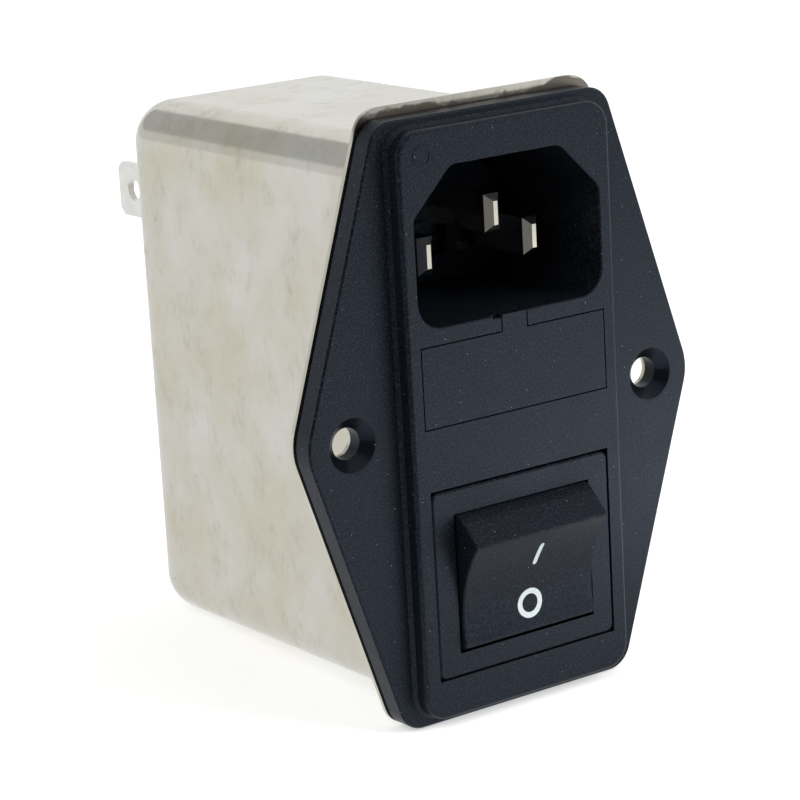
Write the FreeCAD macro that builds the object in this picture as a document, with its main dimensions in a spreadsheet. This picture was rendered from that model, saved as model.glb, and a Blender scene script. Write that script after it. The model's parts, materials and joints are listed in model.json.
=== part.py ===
import FreeCAD, Part
import math
import os

import Sketcher

# A panel inlet for a C13 plug, with a fuse drawer, a rocker switch and a mains filter in a drawn can.
# Millimetres. +Z is up and the front faces -Y. The origin lies midway between the two screw holes,
# on the rear face of the can's flange, which seats against the panel.

doc = FreeCAD.newDocument("PanelInlet")
sheet = doc.addObject("Spreadsheet::Sheet", "Sizes")

SIZES = [
    # outline of the two flanges
    ("hole_in", 5.65, "screw hole from the flange's side point"),
    ("screw_hole", 3.4, "diameter of a screw hole"),
    ("countersink", 5.8, "diameter of the countersink at the front"),
    ("flange_wide", 51.3, "moulded flange, side point to side point"),
    ("flange_top", 30.2, "width of the flange's top and bottom edges"),
    ("flange_thick", 2.8, "moulded flange"),
    ("flange_corner", 3.0, "radius of the four end corners"),
    ("flange_point", 6.0, "radius of the two side points"),
    ("flange_edge", 0.2, "bevel of the flange's front edge"),
    ("flange_rear", 0.45, "bevel of the flange's rear edge"),
    ("boss_wide", 27.7, "raised centre block"),
    ("boss_in", 1.05, "block's ends inside the flange's ends"),
    ("boss_proud", 2.0, "height of the block above the flange"),
    ("boss_corner", 2.8, "radius of the block's corners"),
    ("boss_edge", 0.45, "rounding of the block's front edge"),
    ("boss_root", 0.4, "sloped foot of the block"),
    # drawn can
    ("can_sheet", 0.5, "thickness of the can's flange"),
    ("can_beside", 0.1, "how far the can's flange stands out beside the moulded one"),
    ("can_above", 1.15, "how far it stands out above"),
    ("can_below", 0.05, "how far it stands out below"),
    ("can_wide", 29.8, "can, outside"),
    ("can_in", 1.15, "can's ends inside the block's ends"),
    ("can_clear", 4.9, "between the board and the can's rear wall"),
    ("can_wall", 0.7, "side and rear walls"),
    ("can_edge", 4.8, "radius of the long edges and the rear edges"),
    ("can_root", 0.6, "foot of the can behind the flange"),
    # sleeve of the housing inside the can
    ("sleeve_gap", 0.3, "between sleeve and can"),
    ("sleeve_deep", 15.0, "sleeve behind the panel face"),
    # what is left of the block between its windows
    ("web_top", 4.0, "above the plug cavity"),
    ("web_lid", 1.85, "between cavity and drawer lid"),
    ("web_bezel", 7.025, "between drawer lid and switch bezel"),
    ("web_end", 4.355, "below the switch bezel"),
    # plug cavity
    ("cavity_wide", 24.35, "plug cavity"),
    ("cavity_tall", 16.7, "plug cavity"),
    ("cavity_cant", 5.05, "bevel of the two upper corners"),
    ("cavity_corner", 3.0, "radius of the lower corners"),
    ("cavity_blend", 1.4, "radius at the ends of the bevels"),
    ("cavity_lip", 0.12, "bevel of the cavity's front edge"),
    ("cavity_floor", 12.7, "cavity floor behind the panel face"),
    # pins
    ("pin_wide", 2.0, "blade thickness, across"),
    ("pin_tall", 4.0, "blade width, up"),
    ("pin_pitch", 14.0, "between line and neutral"),
    ("pin_drop", 1.93, "line and neutral below the middle of the cavity"),
    ("earth_rise", 1.94, "earth pin above the middle of the cavity"),
    ("pin_tip", 0.5, "line and neutral tips in front of the panel face"),
    ("earth_tip", 3.1, "earth tip in front of the panel face"),
    ("pin_bevel", 0.73, "bevel at the tips"),
    ("tail_out", 4.5, "pin tails behind the carrier"),
    ("tail_tall", 2.2, "height of the pin tails"),
    ("shoulder_drop", 1.2, "pin shoulder below the blade"),
    ("shoulder_half", 0.8, "half width of the pin shoulder"),
    ("tail_wide", 1.2, "width of the pin tails"),
    # contact carrier
    ("carrier_gap", 0.15, "between carrier and cavity wall"),
    ("carrier_plate", 2.0, "rear plate thickness"),
    ("platform_in", 1.2, "platform edge from the cavity wall"),
    ("platform_proud", 0.8, "platform above the step round it"),
    ("platform_corner", 2.5, "radius of the platform's lower corners"),
    ("rib_half", 2.8, "half length of the rib below the earth pin"),
    ("rib_tall", 1.4, "height of the rib"),
    ("rib_drop", 1.8, "rib below the middle of the cavity"),
    ("rib_proud", 0.7, "rib above the platform"),
    ("core_slot_wide", 2.3, "slots beside the rib"),
    ("core_slot_tall", 3.4, "slots beside the rib"),
    ("core_slot_deep", 1.6, "slots beside the rib"),
    # fuse drawer
    ("lid_wide", 24.17, "drawer lid"),
    ("lid_tall", 8.54, "drawer lid"),
    ("lid_thick", 1.8, "drawer lid"),
    ("lid_gap", 0.15, "gap round the lid"),
    ("bay_end", 13.8, "floor of the drawer bay behind the panel face"),
    ("tray_in", 0.2, "tray side behind the lid's edge"),
    ("tray_wall", 0.8, "tray walls"),
    ("tray_end", 13.3, "rear end of the tray's side rails"),
    ("finger_wide", 3.2, "finger tab on the lid"),
    ("finger_shift", 0.1, "finger tab to the right of the middle"),
    ("finger_thick", 1.3, "finger tab"),
    ("pry_wide", 1.1, "pry notch beside the finger tab"),
    ("pry_tall", 0.3, "pry notch below the cavity"),
    ("pry_deep", 0.8, "pry notch"),
    # fuses
    ("fuse_long", 20.0, "fuse, end to end"),
    ("cap_round", 5.2, "diameter of the fuse caps"),
    ("cap_long", 5.0, "fuse caps"),
    ("cap_sheet", 0.4, "fuse cap wall"),
    ("glass_wall", 0.5, "fuse tube wall"),
    ("glass_gap", 0.03, "between tube and cap"),
    ("fuse_wire", 0.3, "diameter of the fuse wire"),
    ("fuse_depth", 9.6, "working fuse behind the panel face"),
    ("cradle_half", 4.0, "half length of the cradle under the tube"),
    ("fuse_rest", 0.1, "gap between a fuse and its seat"),
    # fuse clips
    ("clip_sheet", 0.5, "clip strip"),
    ("clip_wide", 3.4, "clip strip"),
    ("clip_across", 7.9, "middle of a clip from the centre"),
    ("clip_gap", 0.1, "between a clip arm and the cap"),
    ("clip_reach", 2.6, "clip arms in front of the fuse's axis"),
    ("clip_tail_wide", 1.4, "solder tail"),
    ("clip_tail_out", 4.0, "solder tail behind the sleeve"),
    # switch frame
    ("bezel_wide", 23.65, "switch bezel"),
    ("bezel_tall", 20.43, "switch bezel"),
    ("bezel_thick", 2.0, "switch bezel"),
    ("bezel_corner", 0.9, "radius of the bezel's corners"),
    ("bezel_edge", 0.2, "bevel of the bezel's front edge"),
    ("bezel_gap", 0.12, "gap below and beside the bezel"),
    ("bezel_top_gap", 0.3, "gap above the bezel"),
    ("case_wide", 21.5, "switch case"),
    ("case_tall", 18.4, "switch case"),
    ("case_gap", 0.15, "between case and cut-out"),
    ("web_front", 1.2, "front of the hollow above the case, behind the panel face"),
    ("case_end", 14.7, "rear of the case behind the panel face"),
    ("case_wall", 1.2, "case walls"),
    ("case_floor", 1.5, "rear wall of the case"),
    ("divider_half", 0.6, "half thickness of the wall between the poles"),
    ("divider_start", 4.8, "front of that wall behind the panel face"),
    # rocker, measured from its pivot, level
    ("pivot_depth", 2.3, "pivot in front of the panel face"),
    ("pivot_drop", 0.08, "pivot below the middle of the bezel"),
    ("rocker_half_tilt", 14.0, "degrees from level to either stop"),
    ("rocker_wide", 17.6, "rocker"),
    ("window_wide", 18.24, "opening round the rocker"),
    ("rocker_swing", 8.03, "largest radius of the rocker about its pivot"),
    ("swing_gap", 0.2, "between rocker and frame"),
    ("face_front", 3.9, "middle of the hollow face in front of the pivot"),
    ("ridge_front", 5.26, "ridges in front of the pivot"),
    ("ridge_up", 6.03, "ridges above and below the pivot"),
    ("skirt_front", 1.5, "skirt in front of the pivot"),
    ("rocker_back", 2.4, "rear edge behind the pivot"),
    ("rocker_wall", 1.2, "side walls of the hollow rocker"),
    ("rocker_roof", 1.5, "wall behind the hollow face"),
    ("rocker_room", 6.32, "inside of the rocker above and below the pivot"),
    ("ridge_round", 0.45, "rounding of the ridges"),
    ("side_round", 0.15, "bevel of the rocker's side edges"),
    ("trunnion", 2.4, "diameter of the side pins"),
    ("trunnion_long", 1.4, "side pins"),
    ("running_gap", 0.05, "radial clearance of pins and plungers"),
    ("pole_across", 4.2, "each pole from the middle"),
    ("plunger_round", 2.4, "diameter of a plunger"),
    ("plunger_front", 1.2, "front of a plunger behind the pivot"),
    ("plunger_tip", 5.8, "shoulder of a plunger behind the pivot"),
    ("plunger_nose", 1.0, "thinner nose of a plunger"),
    ("tube_wall", 0.75, "plunger tube wall"),
    ("tube_back", 3.6, "rear of the plunger tubes behind the pivot"),
    ("spring_wire", 0.3, "plunger spring wire"),
    ("spring_turns", 4.0, "turns of a plunger spring"),
    # contacts of the switch
    ("lever_depth", 7.4, "fulcrum behind the rocker's pivot"),
    ("lever_half_tilt", 10.0, "degrees from level to either stop"),
    ("lever_fold", 6.0, "degrees that each arm is bent forward"),
    ("lever_in", 0.8, "end of a lever arm from the case wall"),
    ("lever_wide", 3.4, "contact lever"),
    ("contact_sheet", 0.8, "levers and terminals"),
    ("rivet_round", 3.0, "diameter of a contact"),
    ("rivet_thick", 0.8, "contact"),
    ("rivet_in", 2.4, "middle of a contact from the case wall"),
    ("contact_gap", 0.3, "left between moving and fixed pieces"),
    ("blade_wide", 4.8, "switch terminals"),
    ("blade_out", 6.3, "switch terminals behind the case"),
    # filter
    ("board_clear", 0.7, "between the leads and the X capacitor"),
    ("board_thick", 1.6, "board"),
    ("board_in", 2.6, "board's ends from the can"),
    ("board_gap", 0.25, "between board and liner"),
    ("liner_sheet", 0.4, "insulating liner"),
    ("liner_gap", 0.05, "between liner and can"),
    ("liner_in", 5.6, "liner's ends from the can"),
    ("core_round", 19.0, "outside of the choke core"),
    ("core_bore", 11.0, "bore of the choke core"),
    ("core_thick", 7.0, "choke core"),
    ("core_up", 12.5, "middle of the core above the holes"),
    ("wind_thick", 1.3, "build of a winding"),
    ("wind_gap", 0.05, "between winding and core"),
    ("wind_angle", 120.0, "degrees covered by a winding"),
    ("separator_half", 0.6, "half thickness of the plate in the choke"),
    ("separator_gap", 0.15, "between the plate's ends and the core"),
    ("box_cap_wide", 18.0, "X capacitor"),
    ("box_cap_thick", 8.0, "X capacitor"),
    ("box_cap_long", 14.4, "X capacitor, standing on the board"),
    ("box_cap_up", -5.5, "X capacitor above the holes"),
    ("disc_cap_round", 7.5, "Y capacitor"),
    ("disc_cap_thick", 3.2, "Y capacitor"),
    ("disc_cap_across", 6.5, "Y capacitor from the middle"),
    ("disc_cap_up", -14.5, "Y capacitor above the holes"),
    ("resistor_round", 3.2, "bleed resistor"),
    ("resistor_long", 9.0, "bleed resistor"),
    ("resistor_up", -21.5, "bleed resistor above the holes"),
    ("seat_gap", 0.1, "between a round piece and the board"),
    # rear terminals
    ("tab_tall", 6.3, "rear blades"),
    ("tab_sheet", 0.8, "rear blades"),
    ("tab_across", 9.3, "line and neutral blades from the middle"),
    ("tab_in", 11.9, "line and neutral blades below the top of the can"),
    ("tab_out", 9.7, "rear blades behind the can"),
    ("tab_hole", 2.6, "hole in a blade"),
    ("tab_hole_in", 3.2, "hole from the blade's end"),
    ("tab_corner", 0.8, "cut corners of a blade"),
    ("tab_foot_tall", 3.0, "narrow inner end of a blade"),
    ("bush_neck_tall", 7.6, "bush in the can's wall"),
    ("bush_neck_wide", 2.0, "bush in the can's wall"),
    ("bush_rim", 0.5, "rim of the bush round its neck"),
    ("bush_proud", 0.8, "rim outside the can"),
    ("earth_tab_in", 13.3, "earth blade above the bottom of the can"),
    ("earth_foot", 7.5, "foot of the earth blade on the can"),
    ("rivet_shank", 3.0, "diameter of the earth rivet"),
    ("rivet_head", 5.0, "diameter of its heads"),
    ("rivet_rise", 0.9, "height of its heads"),
    # leads
    ("lead_round", 1.8, "diameter of the inner leads"),
    ("lead_bend", 1.6, "bend radius of the inner leads"),
    ("lead_loop", 3.0, "leads behind the switch terminals"),
    ("lead_clear", 0.4, "between the earth lead and the board's top"),
    ("lead_past", 2.0, "earth lead behind the board"),
]


class Size:
    """A length with the sheet formula it comes from, so that sums of sizes stay bound to the sheet."""

    def __init__(self, value, formula):
        self.value = float(value)
        self.formula = formula

    def __add__(self, other):
        return Size(self.value + number(other), f"({self.formula} + {formula(other)})")

    def __radd__(self, other):
        return Size(number(other) + self.value, f"({formula(other)} + {self.formula})")

    def __sub__(self, other):
        return Size(self.value - number(other), f"({self.formula} - {formula(other)})")

    def __rsub__(self, other):
        return Size(number(other) - self.value, f"({formula(other)} - {self.formula})")

    def __mul__(self, other):
        return Size(self.value * number(other), f"({self.formula} * {formula(other)})")

    __rmul__ = __mul__

    def __truediv__(self, other):
        return Size(self.value / number(other), f"({self.formula} / {formula(other)})")

    def __neg__(self):
        return Size(-self.value, f"(-1 * {self.formula})")


def number(item):
    return item.value if isinstance(item, Size) else float(item)


def formula(item):
    return item.formula if isinstance(item, Size) else repr(float(item))


def root(item):
    return Size(math.sqrt(item.value), f"sqrt({item.formula})")


class Named:
    """The sheet's sizes as attributes."""


S = Named()
for row, (alias, value, note) in enumerate(SIZES, 1):
    sheet.set(f"A{row}", alias)
    sheet.set(f"B{row}", str(value))
    sheet.set(f"C{row}", note)
    sheet.setAlias(f"B{row}", alias)
    setattr(S, alias, Size(value, f"Sizes.{alias}"))
doc.recompute()


# ---------------------------------------------------------------- helpers


def bind(item, path, size):
    item.setExpression(path, formula(size))


def box_outline(left, right, low, high):
    return [(left, low), (right, low), (right, high), (left, high)]


def centred(wide, tall, across=0.0, up=0.0):
    return box_outline(across - wide / 2, across + wide / 2, up - tall / 2, up + tall / 2)


def disc(across, up, radius):
    return ("disc", across, up, radius)


def rounded(wide, tall, radius):
    """A rectangle about the middle with round corners."""
    return ("rounded", wide / 2, tall / 2, radius)


def fix_point(sketch, item, end, across, up):
    for kind, size in (("DistanceX", across), ("DistanceY", up)):
        index = sketch.addConstraint(Sketcher.Constraint(kind, -1, 1, item, end, number(size)))
        bind(sketch, f"Constraints[{index}]", size)


def fix_radius(sketch, item, radius):
    index = sketch.addConstraint(Sketcher.Constraint("Radius", item, number(radius)))
    bind(sketch, f"Constraints[{index}]", radius)


def flat_vector(across, up):
    return FreeCAD.Vector(number(across), number(up), 0)


def draw(sketch, shape):
    """Add a closed outline, given as a list of corners, or one of the shapes named above."""
    if isinstance(shape, list):
        draw_corners(sketch, shape)
    elif shape[0] == "disc":
        draw_disc(sketch, *shape[1:])
    else:
        draw_rounded(sketch, *shape[1:])


def draw_disc(sketch, across, up, radius):
    circle = Part.Circle(flat_vector(across, up), FreeCAD.Vector(0, 0, 1), number(radius))
    item = sketch.addGeometry(circle, False)
    fix_point(sketch, item, 3, across, up)
    fix_radius(sketch, item, radius)


def draw_corners(sketch, corners):
    first = sketch.GeometryCount
    count = len(corners)
    spots = [flat_vector(*corner) for corner in corners]
    sketch.addGeometry([Part.LineSegment(spots[n], spots[(n + 1) % count]) for n in range(count)], False)
    for n in range(count):
        sketch.addConstraint(Sketcher.Constraint("Coincident", first + n, 2, first + (n + 1) % count, 1))
    for n, (across, up) in enumerate(corners):
        fix_point(sketch, first + n, 1, across, up)


def draw_rounded(sketch, half_wide, half_tall, radius):
    """Four sides and four quarter arcs, drawn anticlockwise from the lower left."""
    wide = half_wide - radius
    tall = half_tall - radius
    sides = [((-wide, -half_tall), (wide, -half_tall)), ((half_wide, -tall), (half_wide, tall)),
             ((wide, half_tall), (-wide, half_tall)), ((-half_wide, tall), (-half_wide, -tall))]
    middles = [(wide, -tall), (wide, tall), (-wide, tall), (-wide, -tall)]
    first = sketch.GeometryCount
    for n, (start, stop) in enumerate(sides):
        sketch.addGeometry(Part.LineSegment(flat_vector(*start), flat_vector(*stop)), False)
        fix_point(sketch, first + n, 1, *start)
        fix_point(sketch, first + n, 2, *stop)
    for n, middle in enumerate(middles):
        turn = math.pi / 2
        circle = Part.Circle(flat_vector(*middle), FreeCAD.Vector(0, 0, 1), number(radius))
        arc = sketch.addGeometry(Part.ArcOfCircle(circle, (n - 1) * turn, n * turn), False)
        sketch.addConstraint(Sketcher.Constraint("Coincident", first + n, 2, arc, 1))
        sketch.addConstraint(Sketcher.Constraint("Coincident", arc, 2, first + (n + 1) % 4, 1))
        fix_radius(sketch, arc, radius)


def make_body(name):
    body = doc.addObject("PartDesign::Body", name)
    body.Label = name
    return body


# A sketch plane's normal, as the axis that a feature's start and stop are measured along.
FRONT = "XZ_Plane"
SIDE = "YZ_Plane"
FLAT = "XY_Plane"


def lay_sketch(body, name, role, shapes, start):
    plane = next(item for item in body.Origin.OriginFeatures if item.Role == role)
    sketch = body.newObject("Sketcher::SketchObject", name + "_sketch")
    sketch.AttachmentSupport = [(plane, "")]
    sketch.MapMode = "FlatFace"
    bind(sketch, "AttachmentOffset.Base.z", -start if role == FRONT else start)
    for shape in shapes:
        draw(sketch, shape)
    return sketch


def pad(body, name, shapes, start, stop, role=FRONT):
    """Add the shapes' area from start to stop, along +Y from FRONT, +X from SIDE or +Z from FLAT."""
    sketch = lay_sketch(body, name, role, shapes, start)
    feature = body.newObject("PartDesign::Pad", name)
    feature.Profile = sketch
    feature.Reversed = role == FRONT
    bind(feature, "Length", stop - start)
    doc.recompute()
    return feature


def pocket(body, name, shapes, start, stop, role=FRONT):
    """Cut the shapes' area away from start to stop, along the same axes."""
    before = body.Tip.Shape.Volume
    sketch = lay_sketch(body, name, role, shapes, start)
    feature = body.newObject("PartDesign::Pocket", name)
    feature.Profile = sketch
    feature.Reversed = role != FRONT
    bind(feature, "Length", stop - start)
    doc.recompute()
    if not feature.Shape.Volume < before:
        raise RuntimeError(f"{body.Label}: {name} cuts nothing")
    return feature


def blend(body, name, size, test, kind="Fillet"):
    """Round or bevel the edges of the body's last feature that pass the test."""
    base = body.Tip
    picked = [f"Edge{n}" for n, edge in enumerate(base.Shape.Edges, 1) if test(edge)]
    if not picked:
        raise RuntimeError(f"{body.Label}: {name} finds no edge")
    feature = body.newObject(f"PartDesign::{kind}", name)
    feature.Base = (base, picked)
    bind(feature, "Radius" if kind == "Fillet" else "Size", size)
    doc.recompute()
    return feature


NEAR = 0.01


def close(a, b):
    return abs(number(a) - number(b)) < NEAR


def runs_along(edge, axis):
    """True for a straight edge along x, y or z."""
    if not isinstance(edge.Curve, Part.Line):
        return False
    box = edge.BoundBox
    spans = {"x": box.XLength, "y": box.YLength, "z": box.ZLength}
    along = spans.pop(axis)
    return along > NEAR and all(span < NEAR for span in spans.values())


def at_depth(edge, depth):
    return close(edge.BoundBox.YMin, depth) and close(edge.BoundBox.YMax, depth)


def inside(edge, wide, tall, across=0.0, up=0.0):
    """True where the edge lies within a rectangle seen from the front."""
    box = edge.BoundBox
    half_wide = number(wide) / 2 + NEAR
    half_tall = number(tall) / 2 + NEAR
    sides = abs(box.XMin - number(across)) < half_wide and abs(box.XMax - number(across)) < half_wide
    ends = abs(box.ZMin - number(up)) < half_tall and abs(box.ZMax - number(up)) < half_tall
    return sides and ends


def block(name, across, depth, up):
    """A box from three spans, each (low, high)."""
    item = doc.addObject("Part::Box", name)
    item.Label = name
    for path, (low, high) in zip(("Length", "Width", "Height"), (across, depth, up)):
        bind(item, path, high - low)
    for path, (low, high) in zip("xyz", (across, depth, up)):
        bind(item, f"Placement.Base.{path}", low)
    return item


TURNS = {
    "x": FreeCAD.Rotation(FreeCAD.Vector(0, 1, 0), 90),
    "y": FreeCAD.Rotation(FreeCAD.Vector(1, 0, 0), -90),
    "z": FreeCAD.Rotation(),
}


def rod(name, axis, centre, span, radius, sides=None):
    """A cylinder or many-sided rod along x, y or z; centre gives the other two places in x, y, z order."""
    item = doc.addObject("Part::Prism" if sides else "Part::Cylinder", name)
    if sides:
        item.Polygon = sides
    item.Label = name
    item.Placement = FreeCAD.Placement(FreeCAD.Vector(), TURNS[axis])
    low, high = span
    places = dict(zip("xyz".replace(axis, ""), centre))
    places[axis] = low
    for path, size in places.items():
        bind(item, f"Placement.Base.{path}", size)
    bind(item, "Circumradius" if sides else "Radius", radius)
    bind(item, "Height", high - low)
    return item


def join(name, *items):
    item = doc.addObject("Part::MultiFuse", name)
    item.Label = name
    item.Shapes = list(items)
    item.Refine = True
    return item


def group(name, *items):
    item = doc.addObject("Part::Compound", name)
    item.Label = name
    item.Links = list(items)
    return item


def cut(name, base, *tools):
    item = doc.addObject("Part::Cut", name)
    item.Label = name
    item.Base = base
    item.Tool = tools[0] if len(tools) == 1 else join(name + "_tools", *tools)
    return item


# ---------------------------------------------------------------- shared places

# Small round pieces inside the case have flat sides, few enough to keep the mesh light.
FUSE_SIDES = 16
PLUNGER_SIDES = 12
CORE_SIDES = 24
CAPACITOR_SIDES = 20
RESISTOR_SIDES = 12
RIVET_SIDES = 20
LEAD_SIDES = 8
WIRE_SIDES = 6
STEPS_PER_TURN = 8

# The rear edges are cut flat inside the can. This share of the inner radius leaves the wall nearly even.
INNER_CANT = 0.68

flange_back = -S.can_sheet
flange_front = flange_back - S.flange_thick
face = flange_front - S.boss_proud

# From the front backwards: the switch, its leads, the X capacitor, the board and the can's rear wall.
blade_end = S.case_end + S.blade_out
lead_run = blade_end + S.lead_loop
board_front = lead_run + S.lead_round / 2 + S.board_clear + S.box_cap_long
board_back = board_front + S.board_thick
lead_behind = board_back + S.lead_past
can_inside = board_back + S.can_clear
can_deep = can_inside + S.can_wall
tab_end = can_deep + S.tab_out
tail_end = S.sleeve_deep + S.carrier_plate + S.tail_out
clip_tail_end = S.sleeve_deep + S.clip_tail_out

# The block is as tall as its windows and the webs between them. Flange and can follow it.
boss_tall = S.web_top + S.cavity_tall + S.web_lid + S.lid_tall + S.web_bezel + S.bezel_tall + S.web_end
flange_tall = boss_tall + 2 * S.boss_in
can_tall = boss_tall - 2 * S.can_in
inner_wide = S.can_wide - 2 * S.can_wall
inner_tall = can_tall - 2 * S.can_wall
sleeve_wide = inner_wide - 2 * S.sleeve_gap
sleeve_tall = inner_tall - 2 * S.sleeve_gap
sleeve_corner = S.can_edge - S.can_wall - S.sleeve_gap / 2
hole_pitch = S.flange_wide - 2 * S.hole_in
holes = [disc(side * hole_pitch / 2, 0.0, S.screw_hole / 2) for side in (-1, 1)]
cavity_high = boss_tall / 2 - S.web_top
cavity_low = cavity_high - S.cavity_tall
cavity_up = cavity_high - S.cavity_tall / 2
lid_high = cavity_low - S.web_lid
lid_low = lid_high - S.lid_tall
lid_up = lid_high - S.lid_tall / 2
bezel_up = lid_low - S.web_bezel - S.bezel_tall / 2
pin_up = cavity_up - S.pin_drop
earth_up = cavity_up + S.earth_rise
rib_up = cavity_up - S.rib_drop
pivot_up = bezel_up - S.pivot_drop
pivot_y = -S.pivot_depth
fulcrum_y = pivot_y + S.lever_depth
SIDES = {"left": -1, "right": 1}


def six_sided(beside, above, below):
    """The flange's outline, moved out beside, above and below."""
    run = (S.flange_wide - S.flange_top) / 2
    rise = flange_tall / 2
    point = S.flange_wide / 2 + beside * root(run * run + rise * rise) / rise
    high = rise + above
    low = rise + below
    top = point - run * high / rise
    foot = point - run * low / rise
    return [(point, 0.0), (top, high), (-top, high), (-point, 0.0), (-foot, -low), (foot, -low)]


def canted(margin):
    """The plug cavity's outline, moved in by a margin: a rectangle with its upper corners bevelled."""
    half = S.cavity_wide / 2 - margin
    low = cavity_low + margin
    high = cavity_high - margin
    cant = S.cavity_cant - margin * (2 - math.sqrt(2))
    return [(-half, low), (half, low), (half, high - cant), (half - cant, high),
            (cant - half, high), (-half, high - cant)]


# ---------------------------------------------------------------- front housing


def front_housing():
    body = make_body("front_housing")
    pad(body, "flange", [six_sided(0.0, 0.0, 0.0)], flange_front, flange_back)
    blend(body, "flange_points", S.flange_point,
          lambda edge: runs_along(edge, "y") and close(edge.BoundBox.ZMin, 0))
    blend(body, "flange_corners", S.flange_corner,
          lambda edge: runs_along(edge, "y") and close(abs(edge.BoundBox.ZMin), flange_tall / 2))
    blend(body, "flange_edge", S.flange_edge, lambda edge: at_depth(edge, flange_front), kind="Chamfer")
    blend(body, "flange_rear", S.flange_rear, lambda edge: at_depth(edge, flange_back), kind="Chamfer")
    pad(body, "boss", [centred(S.boss_wide, boss_tall)], face, flange_front)
    blend(body, "boss_corners", S.boss_corner,
          lambda edge: runs_along(edge, "y") and inside(edge, S.boss_wide, boss_tall))
    blend(body, "boss_root", S.boss_root,
          lambda edge: at_depth(edge, flange_front) and inside(edge, S.boss_wide, boss_tall),
          kind="Chamfer")
    blend(body, "boss_edge", S.boss_edge, lambda edge: at_depth(edge, face))
    pad(body, "sleeve", [rounded(sleeve_wide, sleeve_tall, sleeve_corner)], flange_back, S.sleeve_deep)

    pocket(body, "cavity", [canted(0.0)], face, S.sleeve_deep)
    blend(body, "cavity_corners", S.cavity_corner,
          lambda edge: runs_along(edge, "y") and close(edge.BoundBox.ZMin, cavity_low)
          and inside(edge, S.cavity_wide, S.cavity_tall, up=cavity_up))
    blend(body, "cavity_blends", S.cavity_blend,
          lambda edge: runs_along(edge, "y") and edge.BoundBox.ZMin > cavity_up.value
          and inside(edge, S.cavity_wide, S.cavity_tall, up=cavity_up))
    blend(body, "cavity_lip", S.cavity_lip,
          lambda edge: at_depth(edge, face) and inside(edge, S.cavity_wide, S.cavity_tall, up=cavity_up),
          kind="Chamfer")

    bay = centred(S.lid_wide + 2 * S.lid_gap, S.lid_tall + 2 * S.lid_gap, up=lid_up)
    pocket(body, "drawer_bay", [bay], face, S.bay_end)
    notch_left = S.finger_shift - S.finger_wide / 2 - S.lid_gap
    notch_right = S.finger_shift + S.finger_wide / 2 + S.lid_gap
    notch = box_outline(notch_left, notch_right, lid_high, cavity_low + S.cavity_lip)
    pocket(body, "finger_notch", [notch], face, face + S.finger_thick + S.lid_gap)
    pry = box_outline(notch_left - S.pry_wide, notch_left, cavity_low - S.pry_tall, cavity_low + S.cavity_lip)
    pocket(body, "pry_notch", [pry], face, face + S.pry_deep)
    pocket(body, "clip_slots", [clip_tail(side) for side in SIDES.values()], S.bay_end, S.sleeve_deep)

    recess = box_outline(-S.bezel_wide / 2 - S.bezel_gap, S.bezel_wide / 2 + S.bezel_gap,
                         bezel_up - S.bezel_tall / 2 - S.bezel_gap,
                         bezel_up + S.bezel_tall / 2 + S.bezel_top_gap)
    pocket(body, "bezel_recess", [recess], face, face + S.bezel_thick)
    case_hole = centred(S.case_wide + 2 * S.case_gap, S.case_tall + 2 * S.case_gap, up=bezel_up)
    pocket(body, "case_hole", [case_hole], face + S.bezel_thick, S.sleeve_deep)
    core_top = lid_low - S.lid_gap - S.case_wall
    core_low = bezel_up + S.case_tall / 2 + S.case_gap + S.case_wall
    pocket(body, "rear_core", [box_outline(-S.case_wide / 2, S.case_wide / 2, core_low, core_top)],
           S.web_front, S.sleeve_deep)

    pocket(body, "screw_holes", holes, flange_front, flange_back)
    blend(body, "countersinks", (S.countersink - S.screw_hole) / 2,
          lambda edge: at_depth(edge, flange_front) and isinstance(edge.Curve, Part.Circle)
          and close(edge.Curve.Radius, S.screw_hole / 2), kind="Chamfer")
    return body


# ---------------------------------------------------------------- filter can


def long_edge(edge):
    """One of the four edges along the outside of the can."""
    return runs_along(edge, "y") and close(abs(edge.BoundBox.XMin), S.can_wide / 2)


def filter_can():
    body = make_body("filter_can")
    pad(body, "flange", [six_sided(S.can_beside, S.can_above, S.can_below)], flange_back, Size(0, "0"))
    blend(body, "flange_points", S.flange_point + S.can_beside,
          lambda edge: runs_along(edge, "y") and close(edge.BoundBox.ZMin, 0))
    blend(body, "flange_corners", S.flange_corner + S.can_beside,
          lambda edge: runs_along(edge, "y") and abs(edge.BoundBox.ZMin) > flange_tall.value / 2)
    pad(body, "drawn_body", [centred(S.can_wide, can_tall)], flange_back, can_deep)
    inner_edge = S.can_edge - S.can_wall
    pocket(body, "inside", [rounded(inner_wide, inner_tall, inner_edge)], flange_back, can_inside)
    blend(body, "inner_rear_edges", inner_edge * INNER_CANT,
          lambda edge: at_depth(edge, can_inside), kind="Chamfer")
    blend(body, "outer_edges", S.can_edge,
          lambda edge: inside(edge, S.can_wide, can_tall)
          and (at_depth(edge, can_deep) or long_edge(edge)))
    blend(body, "drawing_radius", S.can_root,
          lambda edge: at_depth(edge, 0) and inside(edge, S.can_wide, can_tall), kind="Chamfer")
    pocket(body, "screw_holes", holes, flange_back, Size(0, "0"))
    slots = [centred(S.bush_neck_wide, S.bush_neck_tall, across=side * S.tab_across, up=tab_up)
             for side in SIDES.values()]
    pocket(body, "bush_slots", slots, can_inside, can_deep)
    shank = disc(rivet_across, earth_tab_up, S.rivet_shank / 2)
    pocket(body, "rivet_hole", [shank], can_inside, can_deep)
    return body


# ---------------------------------------------------------------- contact carrier and pins


def pin_places():
    """Each pin's name with its middle across and up, and its tip."""
    return {
        "line_pin": (-S.pin_pitch / 2, pin_up, -S.pin_tip),
        "neutral_pin": (S.pin_pitch / 2, pin_up, -S.pin_tip),
        "earth_pin": (Size(0, "0"), earth_up, -S.earth_tip),
    }


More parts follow.
